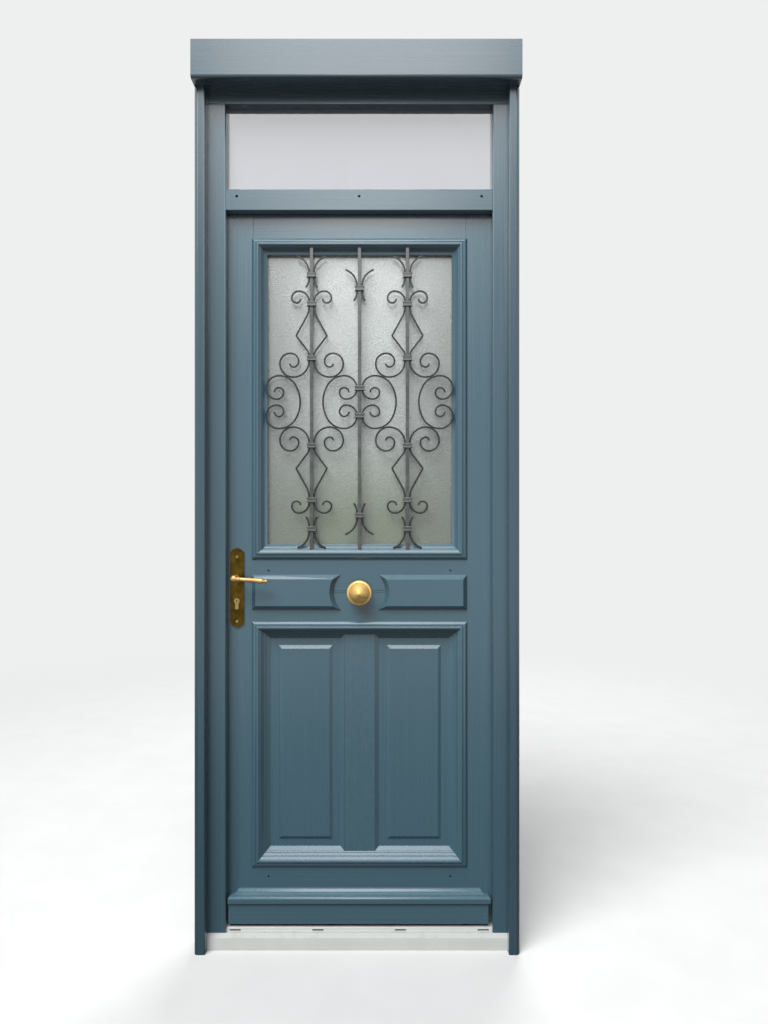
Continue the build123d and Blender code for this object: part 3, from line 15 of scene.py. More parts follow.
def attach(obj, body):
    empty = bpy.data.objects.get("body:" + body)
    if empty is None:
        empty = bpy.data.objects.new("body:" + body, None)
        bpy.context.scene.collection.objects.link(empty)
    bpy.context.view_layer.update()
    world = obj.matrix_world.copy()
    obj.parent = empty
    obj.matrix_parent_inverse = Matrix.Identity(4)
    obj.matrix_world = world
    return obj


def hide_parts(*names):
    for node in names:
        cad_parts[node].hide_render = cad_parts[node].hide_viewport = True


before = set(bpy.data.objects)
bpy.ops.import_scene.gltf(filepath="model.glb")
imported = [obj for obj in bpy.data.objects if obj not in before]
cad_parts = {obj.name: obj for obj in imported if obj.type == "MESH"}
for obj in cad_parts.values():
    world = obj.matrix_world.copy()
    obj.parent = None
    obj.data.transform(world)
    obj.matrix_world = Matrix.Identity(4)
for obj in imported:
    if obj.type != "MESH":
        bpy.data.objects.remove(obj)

Triple = tuple[float, float, float]
Colour = Triple
Outline = list[tuple[float, float]]
Socket = bpy.types.NodeSocket
log = logging.getLogger("front_door")

# Where the leaf's outer face stands and the window's middle height, in metres.
LEAF_FACE = 0.032
WINDOW_MIDDLE = 1.6195

# Sockets of a mix node, whose names repeat from one kind of data to the next.
MIX_SHARE = 0
MIX_VECTORS = (4, 5)
MIX_COLOURS = (6, 7)
MIXED_VECTOR = 1
MIXED_COLOUR = 2

# How the edges of timber and metal are rounded.
WELD_GAP = 0.00001
ARRIS_ANGLE = 30.0
ARRIS_STEPS = 2

# How many sides a turned piece has, and how many spans a drawn bow.
TURNED_SIDES = 40
BOW_SPANS = 5


class Grain(Enum):
    """Which way the brush was drawn along a painted member."""

    UPRIGHT = "upright"
    ACROSS = "across"
    MITRED = "mitred"


class Bench:
    """A work bench for one node tree: it adds nodes and joins their sockets."""

    def __init__(self, tree: bpy.types.NodeTree) -> None:
        """Take the node tree of a material, a world or a group."""
        self.tree = tree

    def add(self, kind: str, **settings: object) -> bpy.types.Node:
        """Add one node and set its options.

        Args:
            kind: The node's type name without its common beginning.
            settings: Attributes to set on the node.

        Returns:
            The new node.
        """
        node = self.tree.nodes.new("ShaderNode" + kind)
        for name, value in settings.items():
            setattr(node, name, value)
        return node

    def join(self, source: Socket, target: Socket) -> None:
        """Join an output to an input."""
        self.tree.links.new(source, target)

    def feed(self, node: bpy.types.Node, **inputs: object) -> bpy.types.Node:
        """Set or join a node's inputs by name.

        Args:
            node: The node whose inputs are fed.
            inputs: A socket to join or a value to set, by input name with _ for a space.

        Returns:
            The same node.
        """
        for name, value in inputs.items():
            socket = node.inputs[name.replace("_", " ")]
            if isinstance(value, Socket):
                self.join(value, socket)
            else:
                socket.default_value = value
        return node

    def sum(self, operation: str, *terms: object) -> Socket:
        """Work out one number from others.

        Args:
            operation: The operation of a math node, such as MULTIPLY.
            terms: Sockets or numbers, in order.

        Returns:
            The socket that holds the result.
        """
        node = self.add("Math", operation=operation)
        for socket, term in zip(node.inputs, terms):
            if isinstance(term, Socket):
                self.join(term, socket)
            else:
                socket.default_value = term
        return node.outputs[0]

    def split(self, vector: Socket) -> bpy.types.NodeOutputs:
        """Split a vector into its X, Y and Z."""
        return self.feed(self.add("SeparateXYZ"), Vector=vector).outputs

    def weigh(self, first: Socket, second: Socket, share: float) -> Socket:
        """Add two patterns, the first by its share and the second by what is left of one."""
        rest = self.sum("MULTIPLY", second, 1.0 - share)
        return self.sum("ADD", self.sum("MULTIPLY", first, share), rest)

    def span(self, value: Socket, low: float, high: float, start: float = 0.0, end: float = 1.0) -> Socket:
        """Spread the values between low and high smoothly from start to end, and hold them beyond."""
        node = self.feed(self.add("MapRange", interpolation_type="SMOOTHSTEP"), Value=value,
                         From_Min=low, From_Max=high, To_Min=start, To_Max=end)
        return node.outputs["Result"]

    def blend(self, share: object, first: object, second: object) -> Socket:
        """Mix two colours.

        Args:
            share: How much of the second, as a socket or a number.
            first: A colour or a colour socket.
            second: A colour or a colour socket.

        Returns:
            The mixed colour's socket.
        """
        node = self.add("Mix", data_type="RGBA")
        sockets = [node.inputs[index] for index in (MIX_SHARE, *MIX_COLOURS)]
        for socket, value in zip(sockets, (share, first, second)):
            if isinstance(value, Socket):
                self.join(value, socket)
            elif isinstance(value, tuple):
                socket.default_value = (*value, 1.0)
            else:
                socket.default_value = value
        return node.outputs[MIXED_COLOUR]

    def place(self, vector: Socket, scale: Triple, turn: Triple = (0.0, 0.0, 0.0)) -> Socket:
        """Scale the coordinates that a pattern reads and turn them, in radians, axis by axis."""
        node = self.feed(self.add("Mapping"), Vector=vector, Scale=scale, Rotation=turn)
        return node.outputs[0]

    def noise(self, vector: Socket, scale: object, detail: float = 2.0, roughness: float = 0.5) -> Socket:
        """Add a noise pattern about 0.5, with so many finer layers and so much strength in them."""
        node = self.feed(self.add("TexNoise"), Vector=vector, Scale=scale, Detail=detail, Roughness=roughness)
        return node.outputs[0]


class Effects:
    """Effects that several finishes share, each built once as a node group."""

    def __init__(self) -> None:
        """Start with no group made."""
        self.made: dict[str, bpy.types.NodeTree] = {}

    def start(self, name: str, inputs: dict[str, float | None],
              outputs: list[str]) -> tuple[Bench, bpy.types.NodeOutputs, bpy.types.NodeInputs]:
        """Open a new group with its named sockets.

        Args:
            name: The group's name.
            inputs: Each number input's default, or None for coordinates, by name.
            outputs: The names of its number outputs.

        Returns:
            A bench on the group's tree, what comes in and what goes out.
        """
        tree = bpy.data.node_groups.new(name, "ShaderNodeTree")
        for label, default in inputs.items():
            kind = "NodeSocketVector" if default is None else "NodeSocketFloat"
            socket = tree.interface.new_socket(label, in_out="INPUT", socket_type=kind)
            if default is not None:
                socket.default_value = default
        for label in outputs:
            tree.interface.new_socket(label, in_out="OUTPUT", socket_type="NodeSocketFloat")
        self.made[name] = tree
        source = tree.nodes.new("NodeGroupInput").outputs
        target = tree.nodes.new("NodeGroupOutput").inputs
        return Bench(tree), source, target

    def place(self, bench: Bench, name: str, **inputs: object) -> bpy.types.Node:
        """Put one effect into a material.

        Args:
            bench: The material's bench.
            name: Which effect.
            inputs: Its inputs by name.

        Returns:
            The group node.
        """
        if name not in self.made:
            getattr(self, name)()
        node = bench.tree.nodes.new("ShaderNodeGroup")
        node.node_tree = self.made[name]
        return bench.feed(node, **inputs)

    def read(self, bench: Bench, name: str, where: Socket, **inputs: object) -> Socket:
        """Put an effect with one result into a material and give that result."""
        return self.place(bench, name, Vector=where, **inputs).outputs[0]

    def brush_marks(self) -> None:
        """Fine bristle lines with the timber's own grain faintly under them."""
        bench, source, target = self.start("brush_marks", {"Along": None}, ["Height", "Streak"])
        fine = bench.noise(source["Along"], 1.0, 2.0, 0.6)
        broad = bench.noise(source["Along"], 0.21, 1.0, 0.5)
        bench.join(bench.weigh(fine, broad, 0.55), target["Height"])
        bench.join(bench.span(broad, 0.3, 0.7), target["Streak"])

    def tone_patches(self) -> None:
        """Broad soft patches of lighter and darker tone."""
        bench, source, target = self.start("tone_patches", {"Vector": None, "Scale": 3.0}, ["Tone"])
        broad = bench.noise(source["Vector"], source["Scale"], 1.0, 0.5)
        bench.join(bench.span(broad, 0.3, 0.7), target["Tone"])

    def ledge_dust(self) -> None:
        """Dust or foot dirt on surfaces that face up, in patches that never thin out below Least; on the sill
        it also lays painted shade.
        """
        inputs = {"Vector": None, "Amount": 0.5, "Least": 0.35}
        bench, source, target = self.start("ledge_dust", inputs, ["Mask"])
        upward = bench.span(bench.split(bench.add("NewGeometry").outputs["Normal"])["Z"], 0.35, 0.9)
        patches = bench.span(bench.noise(source["Vector"], 45.0, 4.0, 0.6), 0.35, 0.65, 0.35, 1.0)
        patches = bench.sum("MAXIMUM", patches, source["Least"])
        mask = bench.sum("MULTIPLY", bench.sum("MULTIPLY", upward, patches), source["Amount"])
        bench.join(mask, target["Mask"])

    def worn_edges(self) -> None:
        """Edges rubbed by hands and weather, broken up by noise."""
        bench, source, target = self.start("worn_edges", {"Vector": None, "Amount": 0.5}, ["Mask"])
        ridge = bench.span(bench.add("NewGeometry").outputs["Pointiness"], 0.54, 0.62)
        patches = bench.span(bench.noise(source["Vector"], 60.0, 4.0, 0.65), 0.4, 0.65)
        mask = bench.sum("MULTIPLY", bench.sum("MULTIPLY", ridge, patches), source["Amount"])
        bench.join(mask, target["Mask"])

    def fine_scratches(self) -> None:
        """Crossing hair scratches and smudges left by handling."""
        bench, source, target = self.start("fine_scratches", {"Vector": None}, ["Height", "Smudge"])
        where = source["Vector"]
        one = bench.noise(bench.place(where, (2600.0, 900.0, 90.0), (0.2, 0.5, 0.3)), 1.0, 1.0)
        other = bench.noise(bench.place(where, (120.0, 900.0, 2400.0), (0.4, -0.6, 0.1)), 1.0, 1.0)
        bench.join(bench.weigh(one, other, 0.5), target["Height"])
        bench.join(bench.span(bench.noise(where, 70.0, 4.0, 0.6), 0.35, 0.7), target["Smudge"])

    def hammering(self) -> None:
        """Shallow dents left by a smith's hammer, with a skin of fine grit."""
        bench, source, target = self.start("hammering", {"Vector": None, "Scale": 160.0}, ["Height"])
        dents = bench.add("TexVoronoi", feature="SMOOTH_F1")
        bench.feed(dents, Vector=source["Vector"], Scale=source["Scale"])
        grit = bench.noise(source["Vector"], 2200.0, 2.0)
        height = bench.sum("ADD", dents.outputs["Distance"], bench.sum("MULTIPLY", grit, 0.25))
        bench.join(height, target["Height"])


effects = Effects()


def open_material(name: str) -> tuple[bpy.types.Material, Bench, bpy.types.Node, Socket]:
    """Start a material with its main shader and its coordinates.

    Args:
        name: The material's name.

    Returns:
        The material, a bench on its tree, the main shader and the object coordinates.
    """
    material = bpy.data.materials.new(name)
    material.use_nodes = True
    material.node_tree.nodes.clear()
    bench = Bench(material.node_tree)
    shader = bench.add("BsdfPrincipled")
    bench.join(shader.outputs[0], bench.add("OutputMaterial").inputs[0])
    where = bench.add("TexCoord").outputs["Object"]
    return material, bench, shader, where


def raise_bumps(bench: Bench, shader: bpy.types.Node, height: Socket,
                strength: float, distance: float) -> None:
    """Give a shader a pattern's bumps, with a strength from 0 to 1 and a height in metres."""
    bump = bench.feed(bench.add("Bump"), Height=height, Strength=strength, Distance=distance)
    bench.join(bump.outputs[0], shader.inputs["Normal"])


def shaded(colour: Colour, by: float) -> Colour:
    """Multiply a colour, up to white."""
    return tuple(min(1.0, by * part) for part in colour)


class Finish(Protocol):
    """What every finish can do."""

    def material(self) -> bpy.types.Material:
        """Make the finish's material."""


@dataclass(frozen=True)
class Ring:
    """A rectangle, in metres, through whose corners the mitres of a ring of members run."""

    middle: float = 0.0
    half_width: float = 0.0
    half_height: float = 0.0


@dataclass(frozen=True)
class SatinPaint:
    """Blue-grey satin paint laid with a brush over timber."""

    name: str
    grain: Grain
    colour: Colour = (0.040, 0.096, 0.128)
    deep: Colour = (0.036, 0.088, 0.118)
    rubbed: Colour = (0.095, 0.150, 0.180)
    dust: Colour = (0.22, 0.27, 0.28)
    dust_amount: float = 0.07
    wear_amount: float = 0.22
    along_brush: float = 11.0
    across_brush: float = 620.0
    tone_scale: float = 2.2
    tone_share: float = 0.6
    smooth: float = 0.24
    dull: float = 0.29
    dust_roughness: float = 0.3
    lacquer: float = 0.9
    mark_strength: float = 0.12
    mark_height: float = 0.0004
    ring: Ring = Ring()

    def along(self, bench: Bench, where: Socket) -> Socket:
        """Stretch the coordinates along the brush.

        Args:
            bench: The material's bench.
            where: The object coordinates.

        Returns:
            The stretched coordinates.
        """
        upright = (self.across_brush, self.across_brush, self.along_brush)
        across = (self.along_brush, self.across_brush, self.across_brush)
        if self.grain is not Grain.MITRED:
            return bench.place(where, upright if self.grain is Grain.UPRIGHT else across)
        parts = bench.split(where)
        sideways = bench.sum("SUBTRACT", bench.sum("ABSOLUTE", parts["X"]), self.ring.half_width)
        from_middle = bench.sum("SUBTRACT", parts["Z"], self.ring.middle)
        upwards = bench.sum("SUBTRACT", bench.sum("ABSOLUTE", from_middle), self.ring.half_height)
        sources = (bench.sum("GREATER_THAN", sideways, upwards), bench.place(where, across),
                   bench.place(where, upright))
        mix = bench.add("Mix", data_type="VECTOR")
        for index, source in zip((MIX_SHARE, *MIX_VECTORS), sources):
            bench.join(source, mix.inputs[index])
        return mix.outputs[MIXED_VECTOR]

    def material(self) -> bpy.types.Material:
        """Make the paint's material.

        Returns:
            The material.
        """
        material, bench, shader, where = open_material(self.name)
        marks = effects.place(bench, "brush_marks", Along=self.along(bench, where)).outputs
        tone = effects.read(bench, "tone_patches", where, Scale=self.tone_scale)
        dust = effects.read(bench, "ledge_dust", where, Amount=self.dust_amount)
        wear = effects.read(bench, "worn_edges", where, Amount=self.wear_amount)
        share = bench.weigh(tone, marks["Streak"], self.tone_share)
        colour = bench.blend(share, self.deep, self.colour)
        colour = bench.blend(wear, colour, self.rubbed)
        colour = bench.blend(dust, colour, self.dust)
        rough = bench.sum("ADD", bench.span(marks["Streak"], 0.0, 1.0, self.smooth, self.dull),
                          bench.sum("MULTIPLY", dust, self.dust_roughness))
        bench.feed(shader, Base_Color=colour, Roughness=rough, IOR=1.5, Coat_Weight=self.lacquer,
                   Coat_Roughness=self.smooth)
        raise_bumps(bench, shader, marks["Height"], self.mark_strength, self.mark_height)
        return material


@dataclass(frozen=True)
class ForgedIron:
    """Forged iron under thin black paint."""

    name: str = "forged_black_iron"
    colour: Colour = (0.010, 0.011, 0.012)
    rubbed: Colour = (0.045, 0.045, 0.044)
    sheen: float = 0.15
    sheen_roughness: float = 0.25
    dust: Colour = (0.12, 0.12, 0.11)
    dust_amount: float = 0.12
    wear_amount: float = 0.7
    dent_scale: float = 150.0
    dent_strength: float = 0.5
    dent_depth: float = 0.0008
    tone_scale: float = 30.0
    tone_gain: float = 1.8
    smooth: float = 0.22
    dull: float = 0.36

    def material(self) -> bpy.types.Material:
        """Make the iron's material.

        Returns:
            The material.
        """
        material, bench, shader, where = open_material(self.name)
        height = effects.read(bench, "hammering", where, Scale=self.dent_scale)
        tone = effects.read(bench, "tone_patches", where, Scale=self.tone_scale)
        wear = effects.read(bench, "worn_edges", where, Amount=self.wear_amount)
        dust = effects.read(bench, "ledge_dust", where, Amount=self.dust_amount)
        colour = bench.blend(tone, self.colour, shaded(self.colour, self.tone_gain))
        colour = bench.blend(wear, colour, self.rubbed)
        colour = bench.blend(dust, colour, self.dust)
        rough = bench.span(tone, 0.0, 1.0, self.smooth, self.dull)
        bench.feed(shader, Base_Color=colour, Roughness=rough, IOR=1.45, Coat_Weight=self.sheen,
                   Coat_Roughness=self.sheen_roughness)
        raise_bumps(bench, shader, height, self.dent_strength, self.dent_depth)
        return material


@dataclass(frozen=True)
class Brass:
    """Brass, from hand-polished to dull and aged."""

    name: str
    colour: Colour
    tarnish: Colour
    tarnish_scale: float
    smooth: float
    dull: float
    metallic: float = 1.0
    wear_amount: float = 0.8
    wear_gain: float = 1.25
    scratch_strength: float = 0.12
    scratch_depth: float = 0.0002

    def material(self) -> bpy.types.Material:
        """Make the brass's material.

        Returns:
            The material.
        """
        material, bench, shader, where = open_material(self.name)
        marks = effects.place(bench, "fine_scratches", Vector=where).outputs
        tone = effects.read(bench, "tone_patches", where, Scale=self.tarnish_scale)
        wear = effects.read(bench, "worn_edges", where, Amount=self.wear_amount)
        colour = bench.blend(tone, self.colour, self.tarnish)
        colour = bench.blend(wear, colour, shaded(self.colour, self.wear_gain))
        rough = bench.span(marks["Smudge"], 0.0, 1.0, self.smooth, self.dull)
        bench.feed(shader, Base_Color=colour, Roughness=rough, Metallic=self.metallic)
        raise_bumps(bench, shader, marks["Height"], self.scratch_strength, self.scratch_depth)
        return material


@dataclass(frozen=True)
class DrawnMetal:
    """Plain metal with lines drawn along one way."""

    name: str
    colour: Colour
    shade: Colour
    lines: Triple
    smooth: float
    dull: float
    metallic: float = 1.0
    dust_amount: float = 0.35
    # Dust on ledges; on the sill this colour also lays painted shade.
    dust_and_shade_colour: Colour = (0.42, 0.40, 0.36)
    dust_least: float = 0.35
    tone_scale: float = 14.0
    line_strength: float = 0.15
    line_depth: float = 0.0002

    def material(self) -> bpy.types.Material:
        """Make the metal's material.

        Returns:
            The material.
        """
        material, bench, shader, where = open_material(self.name)
        lines = effects.place(bench, "brush_marks", Along=bench.place(where, self.lines)).outputs
        tone = effects.read(bench, "tone_patches", where, Scale=self.tone_scale)
        dust = effects.read(bench, "ledge_dust", where, Amount=self.dust_amount, Least=self.dust_least)
        share = bench.weigh(tone, lines["Streak"], 0.5)
        colour = bench.blend(share, self.shade, self.colour)
        colour = bench.blend(dust, colour, self.dust_and_shade_colour)
        rough = bench.span(share, 0.0, 1.0, self.smooth, self.dull)
        bench.feed(shader, Base_Color=colour, Roughness=rough, Metallic=self.metallic)
        raise_bumps(bench, shader, lines["Height"], self.line_strength, self.line_depth)
        return material


@dataclass(frozen=True)
class Moulded:
    """Rubber or nylon as it leaves its mould."""

    name: str
    colour: Colour
    rough: float
    tone_scale: float = 40.0
    rough_spread: float = 0.08
    shade: float = 0.8
    dust: Colour = (0.30, 0.29, 0.27)
    dust_amount: float = 0.4
    grit_scale: float = 1500.0
    grit_strength: float = 0.2
    grit_depth: float = 0.0002

    def material(self) -> bpy.types.Material:
        """Make the moulded material.

        Returns:
            The material.
        """
        material, bench, shader, where = open_material(self.name)
        tone = effects.read(bench, "tone_patches", where, Scale=self.tone_scale)
        dust = effects.read(bench, "ledge_dust", where, Amount=self.dust_amount)
        colour = bench.blend(tone, shaded(self.colour, self.shade), self.colour)
        colour = bench.blend(dust, colour, self.dust)
        rough = bench.span(tone, 0.0, 1.0, self.rough - self.rough_spread, self.rough + self.rough_spread)
        bench.feed(shader, Base_Color=colour, Roughness=rough)
        grit = bench.noise(where, self.grit_scale, 2.0)
        raise_bumps(bench, shader, grit, self.grit_strength, self.grit_depth)
        return material


@dataclass(frozen=True)
class ObscureGlass:
    """Cast glass, pebbled on its hidden face and smooth on its front, with painted sky reflection that
    lightens it towards the top, and painted shade at its sides and in its pebbling.
    """

    name: str = "obscure_glass"
    colour: Colour = (0.20, 0.25, 0.17)
    # Painted sky reflection: the glass colour turns lighter from low to high up the window.
    painted_sky_colour: Colour = (0.56, 0.60, 0.59)
    low: float = 1.22
    high: float = 1.60
    # Painted shade: the glass darkens towards its left and right edges.
    edge_shade_colour: Colour = (0.17, 0.19, 0.17)
    edge_shade_share: float = 0.7
    edge_shade_start: float = 0.10
    edge_shade_end: float = 0.27
    # Painted shade in the pebbling, darker with the pebble pattern.
    pebble_shade_colour: Colour = (0.10, 0.11, 0.10)
    pebble_shade_share: float = 0.35
    pebble_scale: float = 230.0
    pebble_strength: float = 0.6
    pebble_depth: float = 0.0014
    ripple_scale: float = 90.0
    ripple_share: float = 0.8
    tone_scale: float = 9.0
    share_clear: float = 0.4
    smooth: float = 0.24
    dull: float = 0.34
    skin_roughness: float = 0.28
    skin_index: float = 1.85

    def material(self) -> bpy.types.Material:
        """Make the obscure glass's material.

        Returns:
            The material.
        """
        material, bench, shader, where = open_material(self.name)
        pebbles = bench.add("TexVoronoi", feature="SMOOTH_F1")
        bench.feed(pebbles, Vector=where, Scale=self.pebble_scale)
        ripple = bench.noise(where, self.ripple_scale, 3.0, 0.6)
        ripple = bench.sum("MULTIPLY", ripple, self.ripple_share)
        height = bench.sum("ADD", pebbles.outputs["Distance"], ripple)
        parts = bench.split(where)
        # Painted sky reflection, lighter towards the top of the window.
        rise = bench.span(parts["Z"], self.low, self.high)
        colour = bench.blend(rise, self.colour, self.painted_sky_colour)
        # Painted shade, darker towards the window's sides.
        sideways = bench.sum("ABSOLUTE", parts["X"])
        painted_edge_shade = bench.span(sideways, self.edge_shade_start, self.edge_shade_end, 0.0, self.edge_shade_share)
        colour = bench.blend(painted_edge_shade, colour, self.edge_shade_colour)
        # Painted shade, darker where the pebble pattern's distance is greater.
        pebble_shade = bench.span(pebbles.outputs["Distance"], 0.1, 0.7)
        colour = bench.blend(bench.sum("MULTIPLY", pebble_shade, self.pebble_shade_share), colour, self.pebble_shade_colour)
        tone = effects.read(bench, "tone_patches", where, Scale=self.tone_scale)
        rough = bench.span(tone, 0.0, 1.0, self.smooth, self.dull)
        bench.feed(shader, Base_Color=colour, Roughness=rough, IOR=1.5, Transmission_Weight=self.share_clear,
                   Coat_Weight=1.0, Coat_Roughness=self.skin_roughness, Coat_IOR=self.skin_index)
        raise_bumps(bench, shader, height, self.pebble_strength, self.pebble_depth)
        return material


@dataclass(frozen=True)
class ClearGlass:
    """Float glass with a faint film on it."""

    name: str
    colour: Colour = (0.86, 0.93, 0.92)
    share_clear: float = 1.0
    sheen: float = 1.5
    smooth: float = 0.01
    dull: float = 0.05
    film_shade: float = 0.97
    film_scale: float = 9.0
    wave_scale: float = 6.0
    wave_strength: float = 0.04
    wave_depth: float = 0.0006

    def material(self) -> bpy.types.Material:
        """Make the clear glass's material.

        Returns:
            The material.
        """
        material, bench, shader, where = open_material(self.name)
        film = effects.read(bench, "tone_patches", where, Scale=self.film_scale)
        colour = bench.blend(film, shaded(self.colour, self.film_shade), self.colour)
        rough = bench.span(film, 0.0, 1.0, self.smooth, self.dull)
        bench.feed(shader, Base_Color=colour, Roughness=rough, IOR=1.46, Transmission_Weight=self.share_clear,
                   Coat_Weight=1.0, Coat_Roughness=0.03, Coat_IOR=self.sheen)
        wave = bench.noise(where, self.wave_scale, 1.0)
        raise_bumps(bench, shader, wave, self.wave_strength, self.wave_depth)
        return material


def bring_in(name: str, data: bpy.types.ID) -> bpy.types.Object:
    """Bring a new object into the scene.

    Args:
        name: The object's name.
        data: Its mesh, lamp or lens.

    Returns:
        The object.
    """
    item = bpy.data.objects.new(name, data)
    bpy.context.scene.collection.objects.link(item)
    return item


class SubAssembly:
    """What every sub-assembly of the door can do."""

    def coat(self, finish: Finish, *names: str) -> None:
        """Give solids of the frame their finish.

        Args:
            finish: The finish, which makes its own material.
            names: The solids' names.
        """
        material = finish.material()
        for name in names:
            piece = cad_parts[name]
            for slot in piece.material_slots:
                slot.material = material
            log.info("%s: %s", name, material.name)

    def ease(self, width: float, *names: str) -> None:
        """Round the sharp arrises of solids a little.

        Args:
            width: The rounding's width in metres.
            names: The solids' names.
        """
        for name in names:
            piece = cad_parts[name]
            weld = piece.modifiers.new("joined_faces", "WELD")
            weld.merge_threshold = WELD_GAP
            self.round_edges(piece, width, ARRIS_ANGLE)

    def round_edges(self, piece: bpy.types.Object, width: float, sharp: float) -> None:
        """Round a piece's sharp edges.

        Args:
            piece: The piece.
            width: The rounding's width in metres.
            sharp: The angle over which an edge is sharp, in degrees.
        """
        bevel = piece.modifiers.new("eased_arrises", "BEVEL")
        bevel.width = width
        bevel.segments = ARRIS_STEPS
        bevel.limit_method = "ANGLE"
        bevel.angle_limit = radians(sharp)
        bevel.harden_normals = True

    def draw_loop(self, shape: bmesh.types.BMesh, outline: Outline,
                  place: Callable[[Vector, float, float], Vector], turned: bool = False) -> None:
        """Draw a loop along an outline: square and closed on itself, or round with both ends capped.

        Args:
            shape: The mesh to add to.
            outline: The outline's points, two numbers each.
            place: Turns a corner's side and a point's two numbers into a place.
            turned: Whether the loop is round.
        """
        if turned:
            start = bmesh.ops.create_circle(shape, segments=TURNED_SIDES, radius=1.0)["verts"]
        else:
            start = bmesh.ops.create_circle(shape, segments=4, radius=sqrt(2.0),
                                            matrix=Matrix.Rotation(radians(45.0), 4, "Z"))["verts"]
        loops = [start]
        edges = list({edge for vert in start for edge in vert.link_edges})
        for _ in outline[1:]:
            made = bmesh.ops.extrude_edge_only(shape, edges=edges)["geom"]
            edges = [item for item in made if isinstance(item, bmesh.types.BMEdge)
                     and all(vert in made for vert in item.verts)]
            loops.append([item for item in made if isinstance(item, bmesh.types.BMVert)])
        for loop, (first, second) in zip(loops, outline):
            for vert in loop:
                vert.co = place(vert.co.copy(), first, second)
        ends = [[edge for edge in {item for vert in loop for item in vert.link_edges}
                 if all(vert in loop for vert in edge.verts)] for loop in (loops[0], loops[-1])]
        if turned:
            for end in ends:
                bmesh.ops.contextual_create(shape, geom=end)
        else:
            bmesh.ops.bridge_loops(shape, edges=ends[0] + ends[1])

    def finish_piece(self, name: str, shape: bmesh.types.BMesh, paint: str, arris: float,
                     sharp: float, node: str, slot: str, body: str = "leaf") -> None:
        """Turn a drawn shape into a piece that rides a body in a solid's place.

        Args:
            name: The piece's name.
            shape: The drawn mesh, freed here.
            paint: The material's name.
            arris: How wide its sharp edges are rounded, in metres.
            sharp: The angle over which an edge is sharp, in degrees.
            node: The solid that it stands in for.
            slot: The record's material slot; not used.
            body: The body that it rides.
        """
        bmesh.ops.recalc_face_normals(shape, faces=shape.faces)
        mesh = bpy.data.meshes.new(name)
        shape.to_mesh(mesh)
        shape.free()
        for face in mesh.polygons:
            face.use_smooth = True
        mesh.set_sharp_from_angle(angle=radians(sharp))
        mesh.materials.append(bpy.data.materials[paint])
        piece = bring_in(name, mesh)
        self.round_edges(piece, arris, sharp)
        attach(piece, body)
        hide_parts(node)
        log.info("%s: %s, in place of %s", name, paint, node)


@dataclass
class OuterFrame(SubAssembly):
    """Jambs, head, transom bar, cover strips and seal, painted darker than the leaf as painted shade."""

    arris: float = 0.0009
    # Painted shade: the frame's paint and the cover strips' darker paint are shaded copies of the leaf's
    # paint.
    colour: Colour = (0.034, 0.082, 0.110)
    deep: Colour = (0.030, 0.074, 0.100)
    cover: Colour = (0.025, 0.061, 0.082)
    cover_deep: Colour = (0.021, 0.053, 0.072)

    def build(self) -> None:
        """Dress the fixed timber and the seal."""
        upright = ("lock_jamb", "hinge_jamb")
        across = ("frame_head", "transom_bar")
        strips = ("lock_side_cover_strip", "hinge_side_cover_strip")
        self.coat(SatinPaint("shaded_cover_paint_upright", Grain.UPRIGHT, self.cover, self.cover_deep), *strips)
        self.coat(SatinPaint("shaded_cover_paint_across", Grain.ACROSS, self.cover, self.cover_deep),
                  "head_cover_board")
        self.ease(self.arris, "head_cover_board", *strips)
        self.coat(SatinPaint("shaded_frame_paint_upright", Grain.UPRIGHT, self.colour, self.deep), *upright)
        self.coat(SatinPaint("shaded_frame_paint_across", Grain.ACROSS, self.colour, self.deep), *across)
        self.ease(self.arris, *upright, *across)
        self.coat(Moulded("seal_rubber_black", (0.016, 0.016, 0.017), 0.6), "frame_seal")


@dataclass
class Threshold(SubAssembly):
    """The pale coated sill extrusion, its shelf darkened evenly, partly by foot dirt and partly by painted
    shade.
    """

    arris: float = 0.0006

    def build(self) -> None:
        """Dress the sill."""
        # The dark dust on the shelf is partly foot dirt and partly painted shade, which keeps the top from
        # showing lighter than the front.
        pale = DrawnMetal("pale_sill_coating", (0.60, 0.62, 0.60), (0.55, 0.57, 0.55),
                          (9.0, 700.0, 700.0), 0.40, 0.55, metallic=0.0, dust_amount=0.75,
                          dust_and_shade_colour=(0.23, 0.235, 0.23), dust_least=0.85)
        self.coat(pale, "threshold")
        self.ease(self.arris, "threshold")


@dataclass
class GlassUnit(SubAssembly):
    """What both sealed units share: the bar between their panes and the beads that hold them."""

    ring: Ring
    arris: float = 0.0005

    def hold(self, look: str, node: str) -> None:
        """Dress the bar and the beads.

        Args:
            look: How their materials' names begin.
            node: How their own names begin.
        """
        bar = DrawnMetal(f"{look}_spacer_aluminium", (0.62, 0.63, 0.64), (0.5, 0.51, 0.52),
                         (400.0, 400.0, 400.0), 0.3, 0.45)
        self.coat(bar, f"{node}_spacer")
        self.coat(SatinPaint(f"{look}_bead_paint", Grain.MITRED, ring=self.ring), f"{node}_beads")
        self.ease(self.arris, f"{node}_beads")


@dataclass
class TransomLight(GlassUnit):
    """The sealed glass unit over the door with its beads."""

    ring: Ring = Ring(2.3565, 0.392, 0.1245)

    def build(self) -> None:
        """Dress the light's glass, bar and beads."""
        self.coat(ClearGlass("shaded_light_glass", (0.30, 0.32, 0.36), 0.5, 1.7),
                  "transom_outer_pane", "transom_inner_pane")
        self.hold("light", "transom")


